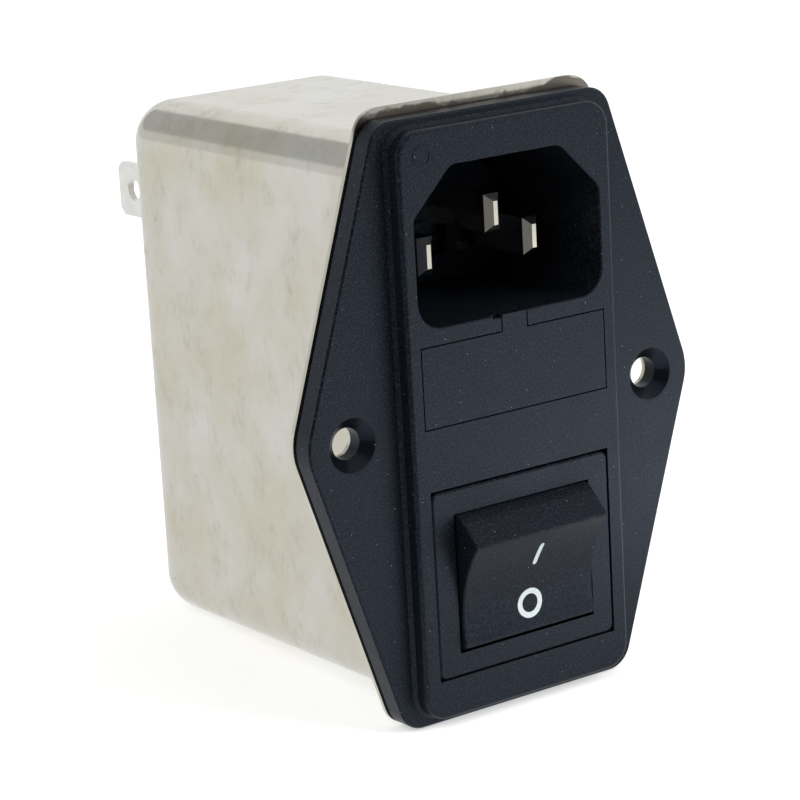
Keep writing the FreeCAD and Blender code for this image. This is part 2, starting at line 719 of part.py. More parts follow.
def contact_carrier():
    body = make_body("contact_carrier")
    step = S.cavity_floor + S.platform_proud
    back = S.sleeve_deep + S.carrier_plate
    plate_low = lid_high + S.lid_gap
    plate = box_outline(-sleeve_wide / 2, sleeve_wide / 2, plate_low, sleeve_tall / 2)
    pad(body, "plate", [plate], S.sleeve_deep, back)
    blend(body, "plate_corners", sleeve_corner,
          lambda edge: runs_along(edge, "y") and close(edge.BoundBox.ZMin, sleeve_tall / 2))
    pad(body, "plug", [canted(S.carrier_gap)], step, S.sleeve_deep)
    blend(body, "plug_corners", S.cavity_corner - S.carrier_gap,
          lambda edge: runs_along(edge, "y") and close(edge.BoundBox.ZMin, cavity_low + S.carrier_gap))
    blend(body, "plug_blends", S.cavity_blend,
          lambda edge: runs_along(edge, "y") and close(edge.BoundBox.YMax, S.sleeve_deep)
          and edge.BoundBox.ZMin > cavity_up.value and edge.BoundBox.ZMin < cavity_high.value)
    pad(body, "platform", [canted(S.platform_in)], S.cavity_floor, step)
    blend(body, "platform_corners", S.platform_corner,
          lambda edge: runs_along(edge, "y") and close(edge.BoundBox.ZMin, cavity_low + S.platform_in))
    rib_front = S.cavity_floor - S.rib_proud
    pad(body, "rib", [centred(2 * S.rib_half, S.rib_tall, up=rib_up)], rib_front, S.cavity_floor)
    slot_up = rib_up - S.core_slot_tall / 2
    core_slots = [centred(S.core_slot_wide, S.core_slot_tall, up=slot_up,
                          across=side * (S.rib_half + S.core_slot_wide / 2)) for side in SIDES.values()]
    pocket(body, "core_slots", core_slots, S.cavity_floor, S.cavity_floor + S.core_slot_deep)
    for name, (across, up, tip) in pin_places().items():
        pocket(body, name + "_slot", [centred(S.pin_wide, S.pin_tall, across, up)], rib_front, back)
        if name != "earth_pin":
            pocket(body, name + "_shoulder", [shoulder(across)], S.cavity_floor, S.sleeve_deep)
    return body


def shoulder(across):
    """The small step under a line or neutral pin, where it shows at the cavity floor."""
    low = pin_up - S.pin_tall / 2
    return box_outline(across - S.shoulder_half, across + S.shoulder_half, low - S.shoulder_drop, low)


def contact_pin(name, across, up, tip):
    body = make_body(name)
    back = S.sleeve_deep + S.carrier_plate
    pad(body, "blade", [centred(S.pin_wide, S.pin_tall, across, up)], tip, back)
    blend(body, "tip_bevel", S.pin_bevel, lambda edge: at_depth(edge, tip), kind="Chamfer")
    if name != "earth_pin":
        pad(body, "shoulder", [shoulder(across)], S.cavity_floor - S.pin_bevel / 2, S.sleeve_deep)
    pad(body, "tail", [centred(S.tail_wide, S.tail_tall, across, up)], back, tail_end)
    return body


# ---------------------------------------------------------------- fuse drawer, fuses and clips


def clip_tail(side):
    return centred(S.clip_tail_wide, S.clip_sheet, side * S.clip_across, lid_up)


tray_half = S.lid_wide / 2 - S.tray_in
tray_low = lid_low + S.tray_in
tray_high = lid_high - S.tray_in
lid_back = face + S.lid_thick
spare_y = lid_back + S.tray_wall / 2 + S.fuse_rest + S.cap_round / 2
partition = spare_y + S.cap_round / 2 + S.fuse_rest
spare_up = tray_low + S.tray_wall + S.fuse_rest + S.cap_round / 2


def fuse_drawer():
    body = make_body("fuse_drawer")
    pad(body, "lid", [centred(S.lid_wide, S.lid_tall, up=lid_up)], face, lid_back)
    finger = box_outline(S.finger_shift - S.finger_wide / 2, S.finger_shift + S.finger_wide / 2,
                         lid_high - S.finger_thick, cavity_low)
    pad(body, "finger_tab", [finger], face, face + S.finger_thick)
    tray_back = partition + S.tray_wall
    pad(body, "spare_chamber", [box_outline(-tray_half, tray_half, tray_low, tray_high)], lid_back, tray_back)
    room = S.fuse_long / 2 + S.fuse_rest
    pocket(body, "spare_room", [box_outline(-room, room, lid_back + S.tray_wall / 2, partition)],
           tray_low + S.tray_wall, tray_high, role=FLAT)
    for side, sign in SIDES.items():
        outer = sign * tray_half
        inner = sign * (tray_half - S.tray_wall)
        ends = (inner, outer) if sign > 0 else (outer, inner)
        pad(body, side + "_rail", [box_outline(ends[0], ends[1], tray_low, tray_high)], tray_back, S.tray_end)
    cradle_back = S.fuse_depth + S.cap_round / 2
    pad(body, "cradle", [box_outline(-S.cradle_half, S.cradle_half, tray_low, lid_up + S.cap_round / 4)],
        tray_back, cradle_back)
    seat = S.cap_round / 2 - S.cap_sheet + S.fuse_rest
    pocket(body, "cradle_bore", [disc(S.fuse_depth, lid_up, seat)],
           -S.cradle_half, S.cradle_half, role=SIDE)
    return body


def fuse(name, depth, up):
    """A glass fuse: its tube, a pair of end caps and the wire between them."""
    half = S.fuse_long / 2
    cap_bore = S.cap_round / 2 - S.cap_sheet
    glass = cap_bore - S.glass_gap
    reach = half - S.cap_sheet
    tube = cut(name + "_tube",
               rod(name + "_glass", "x", (depth, up), (-reach, reach), glass, FUSE_SIDES),
               rod(name + "_bore", "x", (depth, up), (-half, half), glass - S.glass_wall, FUSE_SIDES))
    caps = []
    for side, sign in SIDES.items():
        outer = (half - S.cap_long, half) if sign > 0 else (-half, S.cap_long - half)
        hollow = (half - S.cap_long, reach) if sign > 0 else (-reach, S.cap_long - half)
        caps.append(cut(f"{name}_{side}_cap",
                        rod(f"{name}_{side}_cup", "x", (depth, up), outer, S.cap_round / 2, FUSE_SIDES),
                        rod(f"{name}_{side}_hollow", "x", (depth, up), hollow, cap_bore, FUSE_SIDES)))
    pair = group(name + "_caps", *caps)
    wire = rod(name + "_wire", "x", (depth, up), (-reach, reach), S.fuse_wire / 2, WIRE_SIDES)
    return [tube, pair, wire]


def fuse_clip(side):
    """A strip folded into a U whose arms hold one end cap, with a solder tail through the bay's floor."""
    sign = SIDES[side]
    low = sign * S.clip_across - S.clip_wide / 2
    body = make_body(f"fuse_clip_{side}")
    inner = S.cap_round / 2 + S.clip_gap
    outer = inner + S.clip_sheet
    front = S.fuse_depth - S.clip_reach
    web = S.bay_end - S.clip_sheet
    outline = [(front, lid_up - outer), (S.bay_end, lid_up - outer), (S.bay_end, lid_up + outer),
               (front, lid_up + outer), (front, lid_up + inner), (web, lid_up + inner),
               (web, lid_up - inner), (front, lid_up - inner)]
    pad(body, "strip", [outline], low, low + S.clip_wide, role=SIDE)
    pad(body, "tail", [clip_tail(sign)], S.bay_end, clip_tail_end)
    return body


# ---------------------------------------------------------------- switch


def switch_frame():
    body = make_body("switch_frame")
    back = face + S.bezel_thick
    pad(body, "bezel", [centred(S.bezel_wide, S.bezel_tall, up=bezel_up)], face, back)
    blend(body, "bezel_corners", S.bezel_corner, lambda edge: runs_along(edge, "y"))
    blend(body, "bezel_edge", S.bezel_edge, lambda edge: at_depth(edge, face), kind="Chamfer")
    pad(body, "case", [centred(S.case_wide, S.case_tall, up=bezel_up)], back, S.case_end)
    swing = S.rocker_swing + S.swing_gap
    half = S.window_wide / 2
    pocket(body, "rocker_well", [disc(pivot_y, pivot_up, swing)], -half, half, role=SIDE)
    case_half = S.case_wide / 2 - S.case_wall
    room = box_outline(-case_half, case_half, pivot_up - room_half, pivot_up + room_half)
    pocket(body, "contact_room", [room], Size(0, "0"), S.case_end - S.case_floor)
    pad(body, "divider", [box_outline(-S.divider_half, S.divider_half, pivot_up - room_half,
                                      pivot_up + room_half)], S.divider_start, S.case_end - S.case_floor)
    hinge = half + S.trunnion_long
    bearing = disc(pivot_y, pivot_up, S.trunnion / 2 + S.running_gap)
    pocket(body, "bearings", [bearing], -hinge, hinge, role=SIDE)
    slots = [terminal_blade(side, up) for side in SIDES.values() for up in (pivot_up, fixed_up)]
    pocket(body, "terminal_slots", slots, S.case_end - S.case_floor, S.case_end)
    return body


room_half = S.case_tall / 2 - 2 * S.case_wall
lever_arm = room_half - S.lever_in
rivet_out = room_half - S.rivet_in
fixed_up = pivot_up - rivet_out - S.rivet_round / 2


def terminal_blade(side, up):
    return centred(S.blade_wide, S.contact_sheet, side * S.pole_across, up)


def rocker():
    """Drawn level about its pivot, then tilted to the stop where the lower half is pressed."""
    body = make_body("rocker")
    half = S.rocker_wide / 2
    top = S.rocker_swing + S.swing_gap
    upper = [(-S.ridge_front, S.ridge_up), (-S.skirt_front, top), (S.rocker_back, top)]
    lower = [(depth, -up) for depth, up in reversed(upper)]
    pad(body, "block", [upper + lower], -half, half, role=SIDE)
    sag = S.ridge_front - S.face_front
    hollow = (S.ridge_up * S.ridge_up + sag * sag) / (2 * sag)
    pocket(body, "hollow_face", [disc(-S.face_front - hollow, 0.0, hollow)], -half, half, role=SIDE)
    outer = 2 * top
    pocket(body, "skirts", [centred(2 * outer, 2 * outer), disc(0.0, 0.0, S.rocker_swing)],
           -half, half, role=SIDE)
    blend(body, "ridges", S.ridge_round,
          lambda edge: runs_along(edge, "x") and close(edge.BoundBox.YMin, -S.ridge_front))
    blend(body, "side_edges", S.side_round, side_edge, kind="Chamfer")
    inner_half = half - S.rocker_wall
    roof = -S.face_front + S.rocker_roof
    pocket(body, "hollow", [box_outline(-inner_half, inner_half, -S.rocker_room, S.rocker_room)],
           roof, S.rocker_back)
    bore = S.plunger_round + 2 * S.running_gap
    tube = bore + 2 * S.tube_wall
    poles = [side * S.pole_across for side in SIDES.values()]
    pad(body, "plunger_tubes", [centred(tube, tube, across=pole) for pole in poles], roof, S.tube_back)
    pocket(body, "plunger_bores", [centred(bore, bore, across=pole) for pole in poles], roof, S.tube_back)
    trunnion = disc(0.0, 0.0, S.trunnion / 2)
    for side, sign in SIDES.items():
        start = half if sign > 0 else -half - S.trunnion_long
        pad(body, side + "_trunnion", [trunnion], start, start + S.trunnion_long, role=SIDE)
    tilt_with_rocker(body)
    return body


def side_edge(edge):
    """The rocker's front side edges, outside its skirts."""
    box = edge.BoundBox
    return close(box.XMin, box.XMax) and close(abs(box.XMax), S.rocker_wide / 2) and box.YMax < 0


def tilt_with_rocker(item):
    item.Placement = FreeCAD.Placement(FreeCAD.Vector(), FreeCAD.Rotation(FreeCAD.Vector(1, 0, 0), 1))
    bind(item, "Placement.Base.y", pivot_y)
    bind(item, "Placement.Base.z", pivot_up)
    bind(item, "Placement.Rotation.Angle", S.rocker_half_tilt)


def plungers():
    pieces = []
    for side, sign in SIDES.items():
        across = sign * S.pole_across
        centre = (across, Size(0, "0"))
        nose = S.plunger_tip + S.plunger_nose
        shank = rod(f"{side}_shank", "y", centre, (S.plunger_front, S.plunger_tip),
                    S.plunger_round / 2, PLUNGER_SIDES)
        tip = rod(f"{side}_tip", "y", centre, (S.plunger_tip, nose), S.plunger_round / 4, PLUNGER_SIDES)
        pieces.append(join(f"{side}_plunger", shank, tip))
    pair = group("plungers", *pieces)
    tilt_with_rocker(pair)
    return pair


def plunger_springs():
    """A coil in front of each plunger, in short straight lengths of square wire."""
    front = -S.face_front + S.rocker_roof
    wire = S.spring_wire.value
    mean = S.plunger_round.value / 2 - wire
    start = front.value + wire
    rise = S.plunger_front.value - start - wire
    steps = int(S.spring_turns.value * STEPS_PER_TURN)
    coils = []
    for sign in SIDES.values():
        spots = []
        for step in range(steps + 1):
            angle = 2 * math.pi * step / STEPS_PER_TURN
            spots.append(FreeCAD.Vector(sign * S.pole_across.value + mean * math.cos(angle),
                                        start + rise * step / steps, mean * math.sin(angle)))
        centre, first = spots[0], spots[1] - spots[0]
        out = FreeCAD.Vector(wire / 2, 0, 0)
        up = first.normalize().cross(FreeCAD.Vector(1, 0, 0)).normalize() * (wire / 2)
        corners = [centre + out + up, centre - out + up, centre - out - up, centre + out - up]
        square = Part.makePolygon(corners + corners[:1])
        coils.append(Part.makePolygon(spots).makePipeShell([square], True, False, 1))
    item = doc.addObject("Part::Feature", "plunger_springs")
    item.Label = "plunger_springs"
    item.Shape = Part.makeCompound(coils)
    tilt_with_rocker(item)
    return item


def contact_lever(side):
    """A strip with both arms bent a little forward, and a round contact on its lower arm."""
    body = make_body(f"contact_lever_{side}")
    across = SIDES[side] * S.pole_across
    half = S.contact_sheet / 2
    fold = math.tan(math.radians(S.lever_fold.value))
    bend = lever_arm * fold
    outline = [(half, 0.0), (half - bend, lever_arm), (-half - bend, lever_arm),
               (-half, 0.0), (-half - bend, -lever_arm), (half - bend, -lever_arm)]
    pad(body, "strip", [outline], across - S.lever_wide / 2, across + S.lever_wide / 2, role=SIDE)
    seat = half - rivet_out * fold
    contact = disc(across, -rivet_out, S.rivet_round / 2)
    pad(body, "contact", [contact], -rivet_out * fold, seat + S.rivet_thick)
    body.Placement = FreeCAD.Placement(FreeCAD.Vector(), FreeCAD.Rotation(FreeCAD.Vector(-1, 0, 0), 1))
    bind(body, "Placement.Base.y", fulcrum_y)
    bind(body, "Placement.Base.z", pivot_up)
    bind(body, "Placement.Rotation.Angle", S.lever_half_tilt)
    return body


def centre_terminal(side):
    """The terminal that a lever rocks on."""
    across = SIDES[side] * S.pole_across
    wide = (across - S.blade_wide / 2, across + S.blade_wide / 2)
    sheet_span = (pivot_up - S.contact_sheet / 2, pivot_up + S.contact_sheet / 2)
    front = fulcrum_y + S.contact_sheet / 2 + S.contact_gap
    return block(f"centre_terminal_{side}", wide, (front, blade_end), sheet_span)


def fixed_terminal(side):
    """The terminal that carries the fixed contact, folded so that it faces the lever's contact."""
    across = SIDES[side] * S.pole_across
    body = make_body(f"fixed_terminal_{side}")
    tilt = math.radians(S.lever_half_tilt.value)
    closing = math.radians(S.lever_half_tilt.value - S.lever_fold.value)
    reach = rivet_out * math.sin(closing) + S.rivet_round / 2 * math.sin(tilt)
    meet = fulcrum_y + reach + S.contact_sheet / 2 + S.rivet_thick + S.contact_gap
    rear = meet + S.rivet_thick
    contact_up = pivot_up - rivet_out
    top = contact_up + S.rivet_round / 2
    low = fixed_up - S.contact_sheet / 2
    outline = [(rear, low), (blade_end, low), (blade_end, low + S.contact_sheet),
               (rear + S.contact_sheet, low + S.contact_sheet), (rear + S.contact_sheet, top), (rear, top)]
    pad(body, "strip", [outline], across - S.blade_wide / 2, across + S.blade_wide / 2, role=SIDE)
    pad(body, "contact", [disc(across, contact_up, S.rivet_round / 2)], meet, rear)
    return body


# ---------------------------------------------------------------- filter

liner_half = inner_wide / 2 - S.liner_gap
board_half = liner_half - S.liner_sheet - S.board_gap
board_tall = inner_tall - 2 * S.board_in
liner_tall = inner_tall - 2 * S.liner_in
tab_up = can_tall / 2 - S.tab_in
earth_tab_up = S.earth_tab_in - can_tall / 2
lead_over = board_tall / 2 + S.lead_clear + S.lead_round / 2


def tab_spot(side):
    return centred(S.tab_sheet, S.tab_foot_tall, side * S.tab_across, tab_up)


def filter_board():
    body = make_body("filter_board")
    pad(body, "plate", [centred(2 * board_half, board_tall)], board_front, board_back)
    pocket(body, "tab_slots", [tab_spot(side) for side in SIDES.values()], board_front, board_back)
    return body


def insulating_liner():
    """One sheet folded round the sides and rear of the filter."""
    body = make_body("insulating_liner")
    rear = can_inside - S.liner_gap
    outline = [(-liner_half, lead_run), (S.liner_sheet - liner_half, lead_run),
               (S.liner_sheet - liner_half, board_front + S.board_thick),
               (S.liner_sheet - liner_half + S.can_edge, rear - S.liner_sheet),
               (liner_half - S.liner_sheet - S.can_edge, rear - S.liner_sheet),
               (liner_half - S.liner_sheet, board_front + S.board_thick),
               (liner_half - S.liner_sheet, lead_run), (liner_half, lead_run),
               (liner_half, board_front + S.board_thick), (liner_half - S.can_edge, rear),
               (S.can_edge - liner_half, rear), (-liner_half, board_front + S.board_thick)]
    pad(body, "sheet", [outline], -liner_tall / 2, liner_tall / 2, role=FLAT)
    slots = [centred(S.bush_neck_wide, S.bush_neck_tall, across=side * S.tab_across, up=tab_up)
             for side in SIDES.values()]
    clear = S.rivet_head + 2 * S.liner_sheet
    slots.append(centred(clear, clear, rivet_across, earth_tab_up))
    pocket(body, "slots", slots, board_back, can_deep)
    return body


core_back = board_front - S.wind_gap - S.wind_thick - S.wind_gap
core_front = core_back - S.core_thick


def choke_core():
    centre = (Size(0, "0"), S.core_up)
    span = (core_front, core_back)
    ring = rod("core_ring", "y", centre, span, S.core_round / 2, CORE_SIDES)
    bore = rod("core_hole", "y", centre, span, S.core_bore / 2, CORE_SIDES)
    return cut("choke_core", ring, bore)


def choke_separator():
    reach = S.core_bore / 2 - S.separator_gap
    return block("choke_separator", (-S.separator_half, S.separator_half), (core_front, board_front),
                 (S.core_up - reach, S.core_up + reach))


def winding(name, sign):
    """A winding round one side of the core, as one smooth layer."""
    body = make_body(name)
    inner = S.core_bore / 2 - S.wind_gap
    outer = S.core_round / 2 + S.wind_gap
    front = core_front - S.wind_gap
    back = core_back + S.wind_gap

    def frame(margin):
        low, high = inner - margin, outer + margin
        ends = (low, high) if sign > 0 else (-high, -low)
        return box_outline(ends[0], ends[1], front - margin, back + margin)

    sketch = lay_sketch(body, "section", FLAT, [frame(S.wind_thick), frame(Size(0, "0"))], S.core_up)
    turn = body.newObject("PartDesign::Revolution", "turns")
    turn.Profile = sketch
    turn.ReferenceAxis = (sketch, ["V_Axis"])
    turn.Midplane = True
    bind(turn, "Angle", S.wind_angle)
    doc.recompute()
    return body


def filter_parts():
    middle = board_front - S.seat_gap
    parts = [filter_board(), insulating_liner(), choke_core(), choke_separator(),
             winding("line_winding", -1), winding("neutral_winding", 1)]
    parts.append(block("x_capacitor", (-S.box_cap_wide / 2, S.box_cap_wide / 2),
                       (board_front - S.box_cap_long, board_front),
                       (S.box_cap_up - S.box_cap_thick / 2, S.box_cap_up + S.box_cap_thick / 2)))
    for name, sign in (("line_y_capacitor", -1), ("neutral_y_capacitor", 1)):
        parts.append(rod(name, "z", (sign * S.disc_cap_across, middle - S.disc_cap_round / 2),
                         (S.disc_cap_up - S.disc_cap_thick / 2, S.disc_cap_up + S.disc_cap_thick / 2),
                         S.disc_cap_round / 2, CAPACITOR_SIDES))
    parts.append(rod("bleed_resistor", "x", (middle - S.resistor_round / 2, S.resistor_up),
                     (-S.resistor_long / 2, S.resistor_long / 2), S.resistor_round / 2, RESISTOR_SIDES))
    return parts


# ---------------------------------------------------------------- rear terminals

rivet_across = -S.earth_foot / 2


def blade_outline(root_y, up):
    """A rear blade seen from the side, with its two end corners cut."""
    low = up - S.tab_tall / 2
    high = up + S.tab_tall / 2
    return [(root_y, low), (tab_end - S.tab_corner, low), (tab_end, low + S.tab_corner),
            (tab_end, high - S.tab_corner), (tab_end - S.tab_corner, high), (root_y, high)]


def mains_tab(name, sign):
    body = make_body(name)
    left = sign * S.tab_across - S.tab_sheet / 2
    right = left + S.tab_sheet
    pad(body, "blade", [blade_outline(can_inside, tab_up)], left, right, role=SIDE)
    pad(body, "foot", [box_outline(board_front, can_inside, tab_up - S.tab_foot_tall / 2,
                                   tab_up + S.tab_foot_tall / 2)], left, right, role=SIDE)
    pocket(body, "hole", [disc(tab_end - S.tab_hole_in, tab_up, S.tab_hole / 2)], left, right, role=SIDE)
    return body


def tab_bush(name, sign):
    body = make_body(name)
    neck = centred(S.bush_neck_wide, S.bush_neck_tall, sign * S.tab_across, tab_up)
    rim = centred(S.bush_neck_wide + 2 * S.bush_rim, S.bush_neck_tall + 2 * S.bush_rim,
                  sign * S.tab_across, tab_up)
    blade = centred(S.tab_sheet, S.tab_tall, sign * S.tab_across, tab_up)
    pad(body, "neck", [neck], can_inside, can_deep)
    pad(body, "rim", [rim], can_deep, can_deep + S.bush_proud)
    pocket(body, "slot", [blade], can_inside, can_deep + S.bush_proud)
    return body


def earth_tab():
    """A blade with its foot folded flat on the can, where the rivet holds it."""
    body = make_body("earth_tab")
    half = S.earth_foot / 2
    up = earth_tab_up
    foot = box_outline(rivet_across - half, rivet_across + half + S.tab_sheet / 2, up - half, up + half)
    pad(body, "foot", [foot], can_deep, can_deep + S.tab_sheet)
    pad(body, "blade", [blade_outline(can_deep, up)], -S.tab_sheet / 2, S.tab_sheet / 2, role=SIDE)
    shank = disc(rivet_across, up, S.rivet_shank / 2)
    pocket(body, "rivet_hole", [shank], can_deep, can_deep + S.tab_sheet)
    hole = disc(tab_end - S.tab_hole_in, up, S.tab_hole / 2)
    pocket(body, "hole", [hole], -S.tab_sheet / 2, S.tab_sheet / 2, role=SIDE)
    return body


def earth_rivet():
    up = earth_tab_up
    outside = can_deep + S.tab_sheet
    shank = rod("rivet_body", "y", (rivet_across, up), (can_inside - S.rivet_rise, outside + S.rivet_rise),
                S.rivet_shank / 2, RIVET_SIDES)
    spans = {"inner": (can_inside - S.rivet_rise, can_inside), "outer": (outside, outside + S.rivet_rise)}
    heads = [rod(f"rivet_{place}", "y", (rivet_across, up), span, S.rivet_head / 2, RIVET_SIDES)
             for place, span in spans.items()]
    return join("earth_rivet", shank, *heads)


# ---------------------------------------------------------------- inner leads


def bent_path(spots, bend):
    """The points of straight runs, with each corner between them taken by two short chords."""
    path = [spots[0]]
    for before, corner, after in zip(spots, spots[1:], spots[2:]):
        inward = (before - corner).normalize()
        outward = (after - corner).normalize()
        half_angle = inward.getAngle(outward) / 2
        setback = bend / math.tan(half_angle)
        crest = (inward + outward).normalize() * (bend / math.sin(half_angle) - bend)
        path += [corner + inward * setback, corner + crest, corner + outward * setback]
    return path + [spots[-1]]


def lead(name, *points):
    """An inner lead along straight runs, with eight flat sides."""
    spots = [FreeCAD.Vector(*(number(place) for place in point)) for point in points]
    along = (spots[1] - spots[0]).normalize()
    out = along.cross(FreeCAD.Vector(1, 0, 0)).normalize() * (S.lead_round.value / 2)
    turn = FreeCAD.Rotation(along, 360 / LEAD_SIDES)
    corners = [spots[0] + out]
    for _ in range(LEAD_SIDES):
        out = turn.multVec(out)
        corners.append(spots[0] + out)
    corners[-1] = corners[0]
    path = Part.makePolygon(bent_path(spots, S.lead_bend.value))
    item = doc.addObject("Part::Feature", name)
    item.Label = name
    item.Shape = path.makePipeShell([Part.makePolygon(corners)], True, False, 1)
    return item


def inner_leads():
    pins = pin_places()
    line_across, line_up, _ = pins["line_pin"]
    neutral_across, neutral_up, _ = pins["neutral_pin"]
    items = [
        lead("line_lead", (line_across, tail_end, line_up), (line_across, lead_run, line_up),
             (-S.clip_across, lead_run, lid_up), (-S.clip_across, clip_tail_end, lid_up)),
        lead("fused_line_lead", (S.clip_across, clip_tail_end, lid_up), (S.clip_across, lead_run, lid_up),
             (S.pole_across, lead_run, pivot_up), (S.pole_across, blade_end, pivot_up)),
        lead("neutral_lead", (neutral_across, tail_end, neutral_up),
             (neutral_across, lead_run, neutral_up),
             (-S.pole_across, lead_run, pivot_up), (-S.pole_across, blade_end, pivot_up)),
        lead("earth_lead", (0.0, tail_end, earth_up), (0.0, lead_run, earth_up),
             (0.0, lead_run + 2 * S.lead_bend, lead_over), (0.0, lead_behind, lead_over),
             (rivet_across, lead_behind, earth_tab_up),
             (rivet_across, can_inside - S.rivet_rise, earth_tab_up)),
    ]
    low = fixed_up - 2 * S.lead_bend
    for name, sign in (("switched_line_lead", 1), ("switched_neutral_lead", -1)):
        inner = sign * S.pole_across
        outer = sign * (board_half - 2 * S.lead_bend)
        items.append(lead(name, (inner, blade_end, fixed_up), (inner, lead_run, fixed_up),
                          (outer, lead_run, low), (outer, board_front, low)))
    return items


# ---------------------------------------------------------------- build and write


def nodes():
    items = [front_housing(), filter_can(), contact_carrier()]
    items += [contact_pin(name, *place) for name, place in pin_places().items()]
    items.append(fuse_drawer())
    items += fuse("fuse", S.fuse_depth, lid_up)
    items += fuse("spare_fuse", spare_y, spare_up)
    items += [fuse_clip(side) for side in SIDES]
    items += [switch_frame(), rocker(), plungers(), plunger_springs()]
    for side in SIDES:
        items += [contact_lever(side), centre_terminal(side), fixed_terminal(side)]
    items += filter_parts()
    items += [mains_tab("line_tab", -1), mains_tab("neutral_tab", 1)]
    items += [tab_bush("line_bush", -1), tab_bush("neutral_bush", 1), earth_tab(), earth_rivet()]
    items += inner_leads()
    return items


def write(items):
    doc.recompute()
    for item in doc.Objects:
        if "Invalid" in item.State or "Error" in item.State:
            raise RuntimeError(f"{item.Label} failed to build: {item.State}")
    for item in items:
        if item.Shape.isNull() or not item.Shape.isValid() or not item.Shape.Solids:
            raise RuntimeError(f"{item.Label} has no valid solid")
    os.makedirs("parts", exist_ok=True)
    for item in items:
        item.Shape.exportStep(f"parts/{item.Label}.step")


write(nodes())
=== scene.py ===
import json
import math

import bmesh
import bpy
from mathutils import Matrix, Vector


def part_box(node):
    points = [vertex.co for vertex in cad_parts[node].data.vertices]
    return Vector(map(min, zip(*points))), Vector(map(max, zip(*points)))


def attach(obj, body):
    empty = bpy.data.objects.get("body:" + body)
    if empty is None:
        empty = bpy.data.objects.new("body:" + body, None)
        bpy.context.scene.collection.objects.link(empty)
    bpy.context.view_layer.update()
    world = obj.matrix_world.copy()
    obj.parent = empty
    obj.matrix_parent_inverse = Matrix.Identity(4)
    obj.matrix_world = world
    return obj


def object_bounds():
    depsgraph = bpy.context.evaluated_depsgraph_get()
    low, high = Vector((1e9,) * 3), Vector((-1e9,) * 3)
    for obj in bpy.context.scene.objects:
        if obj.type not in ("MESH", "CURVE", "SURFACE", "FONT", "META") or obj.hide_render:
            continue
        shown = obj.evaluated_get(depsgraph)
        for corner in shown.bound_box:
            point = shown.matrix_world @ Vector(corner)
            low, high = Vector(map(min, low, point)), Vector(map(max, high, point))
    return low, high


bl_info = {
    "name": "Panel inlet finishes",
    "version": (1, 0, 0),
    "blender": (4, 5, 0),
    "location": "View3D > Sidebar > Inlet",
    "description": "Finishes, marks and a small studio for a switched and fused panel inlet",
    "category": "Object",
}

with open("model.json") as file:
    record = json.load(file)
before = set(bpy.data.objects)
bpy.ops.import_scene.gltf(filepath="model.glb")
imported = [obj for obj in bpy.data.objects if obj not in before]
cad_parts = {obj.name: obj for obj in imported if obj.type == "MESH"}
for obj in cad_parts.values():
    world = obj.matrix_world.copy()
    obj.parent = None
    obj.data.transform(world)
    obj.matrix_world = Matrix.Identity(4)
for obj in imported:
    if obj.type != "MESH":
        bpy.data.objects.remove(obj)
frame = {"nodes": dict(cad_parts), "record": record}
CAD_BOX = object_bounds()
NODES = frame["nodes"]
HOLES = next(mount["dims"] for mount in frame["record"]["mounts"] if mount["name"] == "mounting_holes")
MM = 0.001


# ---------------------------------------------------------------- settings


def linear(hex_colour):
    """An sRGB hex colour as linear red, green, blue and alpha."""
    channels = [int(hex_colour[n:n + 2], 16) / 255 for n in (1, 3, 5)]
    return [c / 12.92 if c <= 0.04045 else ((c + 0.055) / 1.055) ** 2.4 for c in channels] + [1.0]


def colour(name, description, hex_colour):
    return bpy.props.FloatVectorProperty(name=name, description=description, subtype="COLOR", size=4,
                                         min=0.0, max=1.0, default=linear(hex_colour))


def share(name, description, value):
    return bpy.props.FloatProperty(name=name, description=description, subtype="FACTOR",
                                   min=0.0, max=1.0, default=value)


def level(name, description, value):
    return bpy.props.FloatProperty(name=name, description=description, min=0.0, default=value)


def power(name, description, watts):
    return bpy.props.FloatProperty(name=name, description=description, subtype="POWER", unit="POWER",
                                   min=0.0, default=watts)


def length(name, description, size_mm):
    return bpy.props.FloatProperty(name=name, description=description, subtype="DISTANCE", unit="LENGTH",
                                   precision=5, default=size_mm * MM)


def point(name, description, place):
    return bpy.props.FloatVectorProperty(name=name, description=description, subtype="XYZ",
                                         unit="LENGTH", default=place)


def way(name, description, direction):
    return bpy.props.FloatVectorProperty(name=name, description=description, subtype="DIRECTION",
                                         default=direction)


# ---------------------------------------------------------------- nodes

# Nearly all of a noise pattern lies between these two values.
LOW, HIGH = 0.3, 0.7


def add(tree, kind, inputs=None, out=None, **settings):
    """Add a shader node with its settings, and give each input named a value or a link. It gives
    back the output asked for, or else the node."""
    item = tree.nodes.new("ShaderNode" + kind)
    for name, value in settings.items():
        setattr(item, name, value)
    for name, value in (inputs or {}).items():
        if isinstance(value, bpy.types.NodeSocket):
            tree.links.new(value, item.inputs[name])
        else:
            item.inputs[name].default_value = value
    return item if out is None else item.outputs[out]


def start_material(name):
    """An empty material, its nodes, and the object's own coordinates to pattern it by."""
    material = bpy.data.materials.new(name)
    material.use_nodes = True
    tree = material.node_tree
    tree.nodes.clear()
    return material, tree, add(tree, "TexCoord", out="Object")


def end_material(tree, inputs):
    """Close a material with its surface shader."""
    shader = add(tree, "BsdfPrincipled", inputs, out="BSDF")
    add(tree, "OutputMaterial", {"Surface": shader})


def darkened(base, part):
    """A linear colour with this part of its light."""
    return [part * channel for channel in base[:3]] + [1.0]


def finish(material, *names):
    """Give the named CAD nodes this material."""
    for name in names:
        for slot in NODES[name].material_slots:
            slot.material = material


# ---------------------------------------------------------------- mouldings


